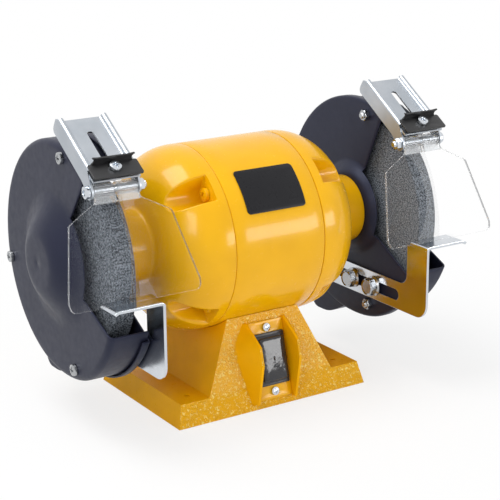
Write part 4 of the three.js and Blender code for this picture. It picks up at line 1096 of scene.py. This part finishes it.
def base():
    thing = piece("base_skin", base_shape(), "yellow_cast", replaces=("base_casting",),
                  modifiers=(bevel(1.3, 3, 35),))
    # the front faces take the hammered finish: a real bump, plus pale flecks that are painted glints
    thing.data.materials.append(MATERIALS["yellow_hammered"])
    outward = FRONT.to_3x3() @ Vector((0, 0, 1))
    for face in thing.data.polygons:
        face.material_index = int(face.normal.dot(outward) > 0.999)
    rib = sheet(rounded(rectangle(80, -2.5, 2.5), 0.5), 0, 12, edge=0.4)
    piece("base_rib", rib, "yellow_cast")


# ---------------------------------------------------------------- switch
SWITCH_MIDDLE = 36.3  # up the face
WINDOW, WELL, RIM, BODY = (12.3, 18.3), (9.5, 15), (13.5, 19.8), (12, 18)  # half sizes, across and up
PLATE_FRONT, FRAME_FRONT = 1.8, 4.1
SCREW_PLACES = {"lower": 11.5, "upper": 60}
ROCKER_HALF, ROCKER_END, ROCKER_RECESS, ROCKER_PIVOT = 14, 5, 1.4, 3.5
BOOT_RINGS = ((12.2, 17.8, 0), (12.3, 17.9, 0.5), (11.7, 17.2, 0.8), (11, 16.5, 0.9), (10.6, 16.2, 2.6),
              (9.9, 15.5, 3.3), (8.6, 14.2, 3.5), (6, 10.5, 3.7), (3, 6, 3.8), (1, 2, 3.84),
              (0.02, 0.04, 3.85))  # half width, half height, level above its foot


def around_switch(half_x, half_y):
    return rectangle(half_x, SWITCH_MIDDLE - half_y, SWITCH_MIDDLE + half_y)


def switch():
    outline = rounded(rectangle(15.2, 6, 65), 1.5)
    holes = [around_switch(*WINDOW)] + [circle(2.1, (0, up), 20) for up in SCREW_PLACES.values()]
    plate = sheet(outline, GAP, PLATE_FRONT, holes)
    skin("switch_plate", plate.at(FRONT), "yellow_paint")
    well = around_switch(*WELL)
    bezel = sheet(rounded(around_switch(*RIM), 1.2), PLATE_FRONT + GAP, FRAME_FRONT, [well], edge=0.4)
    walls = sheet(around_switch(*BODY), -8, PLATE_FRONT + 1, [well], edge=0.2)
    depth = sheet(rounded(around_switch(*BODY), 0.8), -22, -8, edge=0.4)
    skin("switch_body", (bezel + walls + depth).at(FRONT), "black_plastic")


def switch_screws():
    screw = cross_head(3.2, 2.0).moved(x=PLATE_FRONT + GAP) + shank(1.8, -8, PLATE_FRONT + 0.6)
    for name, up in SCREW_PLACES.items():
        skin(f"switch_screw_{name}", screw.at(UPRIGHT).moved(y=up).at(FRONT), "bright_zinc")


def rocker():
    half, top = ROCKER_HALF, FRAME_FRONT - ROCKER_RECESS
    pivot = top - ROCKER_PIVOT
    outline = [(-half, top - ROCKER_END), (0, top - 8), (half, top - ROCKER_END)]
    outline += [(half - 2 * half * k / 12, top - 1.6 * (1 - (1 - k / 6) ** 2)) for k in range(13)]
    body = sheet(rounded(outline, 0.4, 2), -9.2, 9.2, edge=0.5).at(SIDE_VIEW)
    tilt = Matrix.Translation((0, SWITCH_MIDDLE, pivot)) @ turn_x(8) @ Matrix.Translation((0, 0, -pivot))
    piece("rocker_skin", body.at(FRONT @ tilt), "black_plastic", "rocker", replaces=("switch_rocker",))


def boot():
    """The soft cap over the rocker: a flange on the frame, steep walls and a low dome."""
    rings = []
    for half_x, half_y, level in BOOT_RINGS:
        outline = rounded(rectangle(half_x, -half_y, half_y), min(2.4, half_x * 0.6), 4)
        rings.append([(x, SWITCH_MIDDLE + y, FRAME_FRONT + GAP + level) for x, y in outline])
    skin("switch_boot", tube(rings).at(FRONT), "smoky_plastic", sharp=40, modifiers=(solidify(0.7, -1),))


def gland():
    """The cable gland at the rear: a flange on the base and a ribbed sleeve."""
    profile = [(-7, 4), (-7, 8), (0, 8), (0, 11), (0.5, 11.4), (2.2, 11.4), (2.8, 10.9), (2.8, 8.4)]
    for k in range(4):
        start, radius = 3.6 + 2.5 * k, 8.0 - 0.35 * k
        profile += [(start, radius - 1.2), (start + 0.3, radius - 1.2)]
        profile += [(start + 0.5, radius), (start + 2.1, radius)]
    profile += [(13.8, 6.4), (14, 5.8), (14, 4)]
    shape = lathe(profile, 48, closed=True).at(UPRIGHT).moved(x=26, y=26).at(REAR)
    skin("cable_gland", shape, "rubber", sharp=35)


# ---------------------------------------------------------------- room, light and camera, in metres
FLOOR_SIZE, FLOOR_DROP = 6.0, 0.0005
WHITE_FROM, WHITE_NEAR = 0.4, 0.76  # the floor is all white from this distance, and this much of it close by
SKY = 0.4  # strength of the world as a lamp


def seen_directly(tree):
    """1 for camera, glossy and transmission rays."""
    path = node(tree, "LightPath")
    total = path.outputs["Is Camera Ray"]
    for name in ("Is Glossy Ray", "Is Transmission Ray"):
        total = node(tree, "Math", {0: total, 1: path.outputs[name]}, operation="MAXIMUM").outputs[0]
    return total


def white_share(tree):
    """How much of the floor's white is its own: less of it near the object, where the shadow lies."""
    coords = node(tree, "TexCoord").outputs["Object"]
    distance = node(tree, "VectorMath", {0: coords}, operation="LENGTH").outputs["Value"]
    fade = node(tree, "MapRange", {"From Min": 0.1, "From Max": WHITE_FROM, "To Min": WHITE_NEAR,
                                   "Value": distance}, interpolation_type="SMOOTHSTEP").outputs["Result"]
    return node(tree, "Math", {0: seen_directly(tree), 1: fade}, operation="MULTIPLY").outputs[0]


def floor_material():
    material = bpy.data.materials.new("floor")
    material.use_nodes = True
    tree = material.node_tree
    tree.nodes.clear()
    paper = node(tree, "BsdfDiffuse", {"Color": (0.9, 0.9, 0.9, 1)})
    glow = node(tree, "Emission", {"Strength": 1.0})
    mix = node(tree, "MixShader", {"Fac": white_share(tree), 1: paper.outputs[0], 2: glow.outputs[0]})
    node(tree, "OutputMaterial", {"Surface": mix.outputs[0]})
    return material


def room():
    mesh = bpy.data.meshes.new("floor")
    corners = rectangle(FLOOR_SIZE, -FLOOR_SIZE, FLOOR_SIZE)
    mesh.from_pydata([(x, y, -FLOOR_DROP) for x, y in corners], [], [(0, 1, 2, 3)])
    mesh.materials.append(floor_material())
    placed("floor", mesh)


def world():
    sky = bpy.data.worlds.new("studio")
    bpy.context.scene.world = sky
    sky.use_nodes = True
    background = sky.node_tree.nodes["Background"]
    background.inputs["Color"].default_value = (1, 1, 1, 1)
    strength = node(sky.node_tree, "MapRange", {"To Min": SKY, "Value": seen_directly(sky.node_tree)})
    sky.node_tree.links.new(strength.outputs["Result"], background.inputs["Strength"])


def area_light(name, place, size, watts):
    """A rectangular lamp that looks at the middle of the grinder."""
    data = bpy.data.lights.new(name, "AREA")
    data.shape = "RECTANGLE"
    data.size, data.size_y = size
    data.energy = watts
    lamp = placed(name, data)
    lamp.location = place
    lamp.rotation_mode = "QUATERNION"
    lamp.rotation_quaternion = (Vector((0, 0, 0.12)) - Vector(place)).to_track_quat("-Z", "Y")


def lights():
    area_light("overhead", (-0.55, 0.2, 1.4), (0.9, 0.8), 15)
    area_light("front_left", (-1.3, -1.1, 0.9), (0.6, 0.8), 9)
    area_light("front_right", (0.95, -1.35, 0.28), (0.85, 0.4), 8)


def camera():
    data = bpy.data.cameras.new("camera")
    data.sensor_width = 36
    data.lens = 103.4
    data.clip_start, data.clip_end = 0.01, 50
    thing = placed("camera", data)
    azimuth, elevation, roll = radians(-32.6), radians(16.53), radians(-0.57)
    back = Vector((sin(azimuth) * cos(elevation), -cos(azimuth) * cos(elevation),
                   sin(elevation)))
    look = (-back).to_track_quat("-Z", "Y")
    thing.rotation_mode = "QUATERNION"
    thing.rotation_quaternion = look @ Matrix.Rotation(roll, 3, "Z").to_quaternion()
    target, distance = Vector((0.01709, 0, 0.10416)), 1.10505
    thing.location = target + back * distance
    bpy.context.scene.camera = thing
    bpy.context.scene.view_settings.view_transform = "Standard"


for make in (make_paints, make_stone, make_metals, make_plastics, paint_cad_nodes, motor_band, end_bells,
             through_bolts, label, wheels, guards, chute, guard_screws, tool_rests, rest_bolts, brackets,
             bracket_bolts, spark_deflectors, hinge_bolts, eye_shields, base, switch, rocker, boot,
             switch_screws, gland, room, world, lights, camera):
    make()
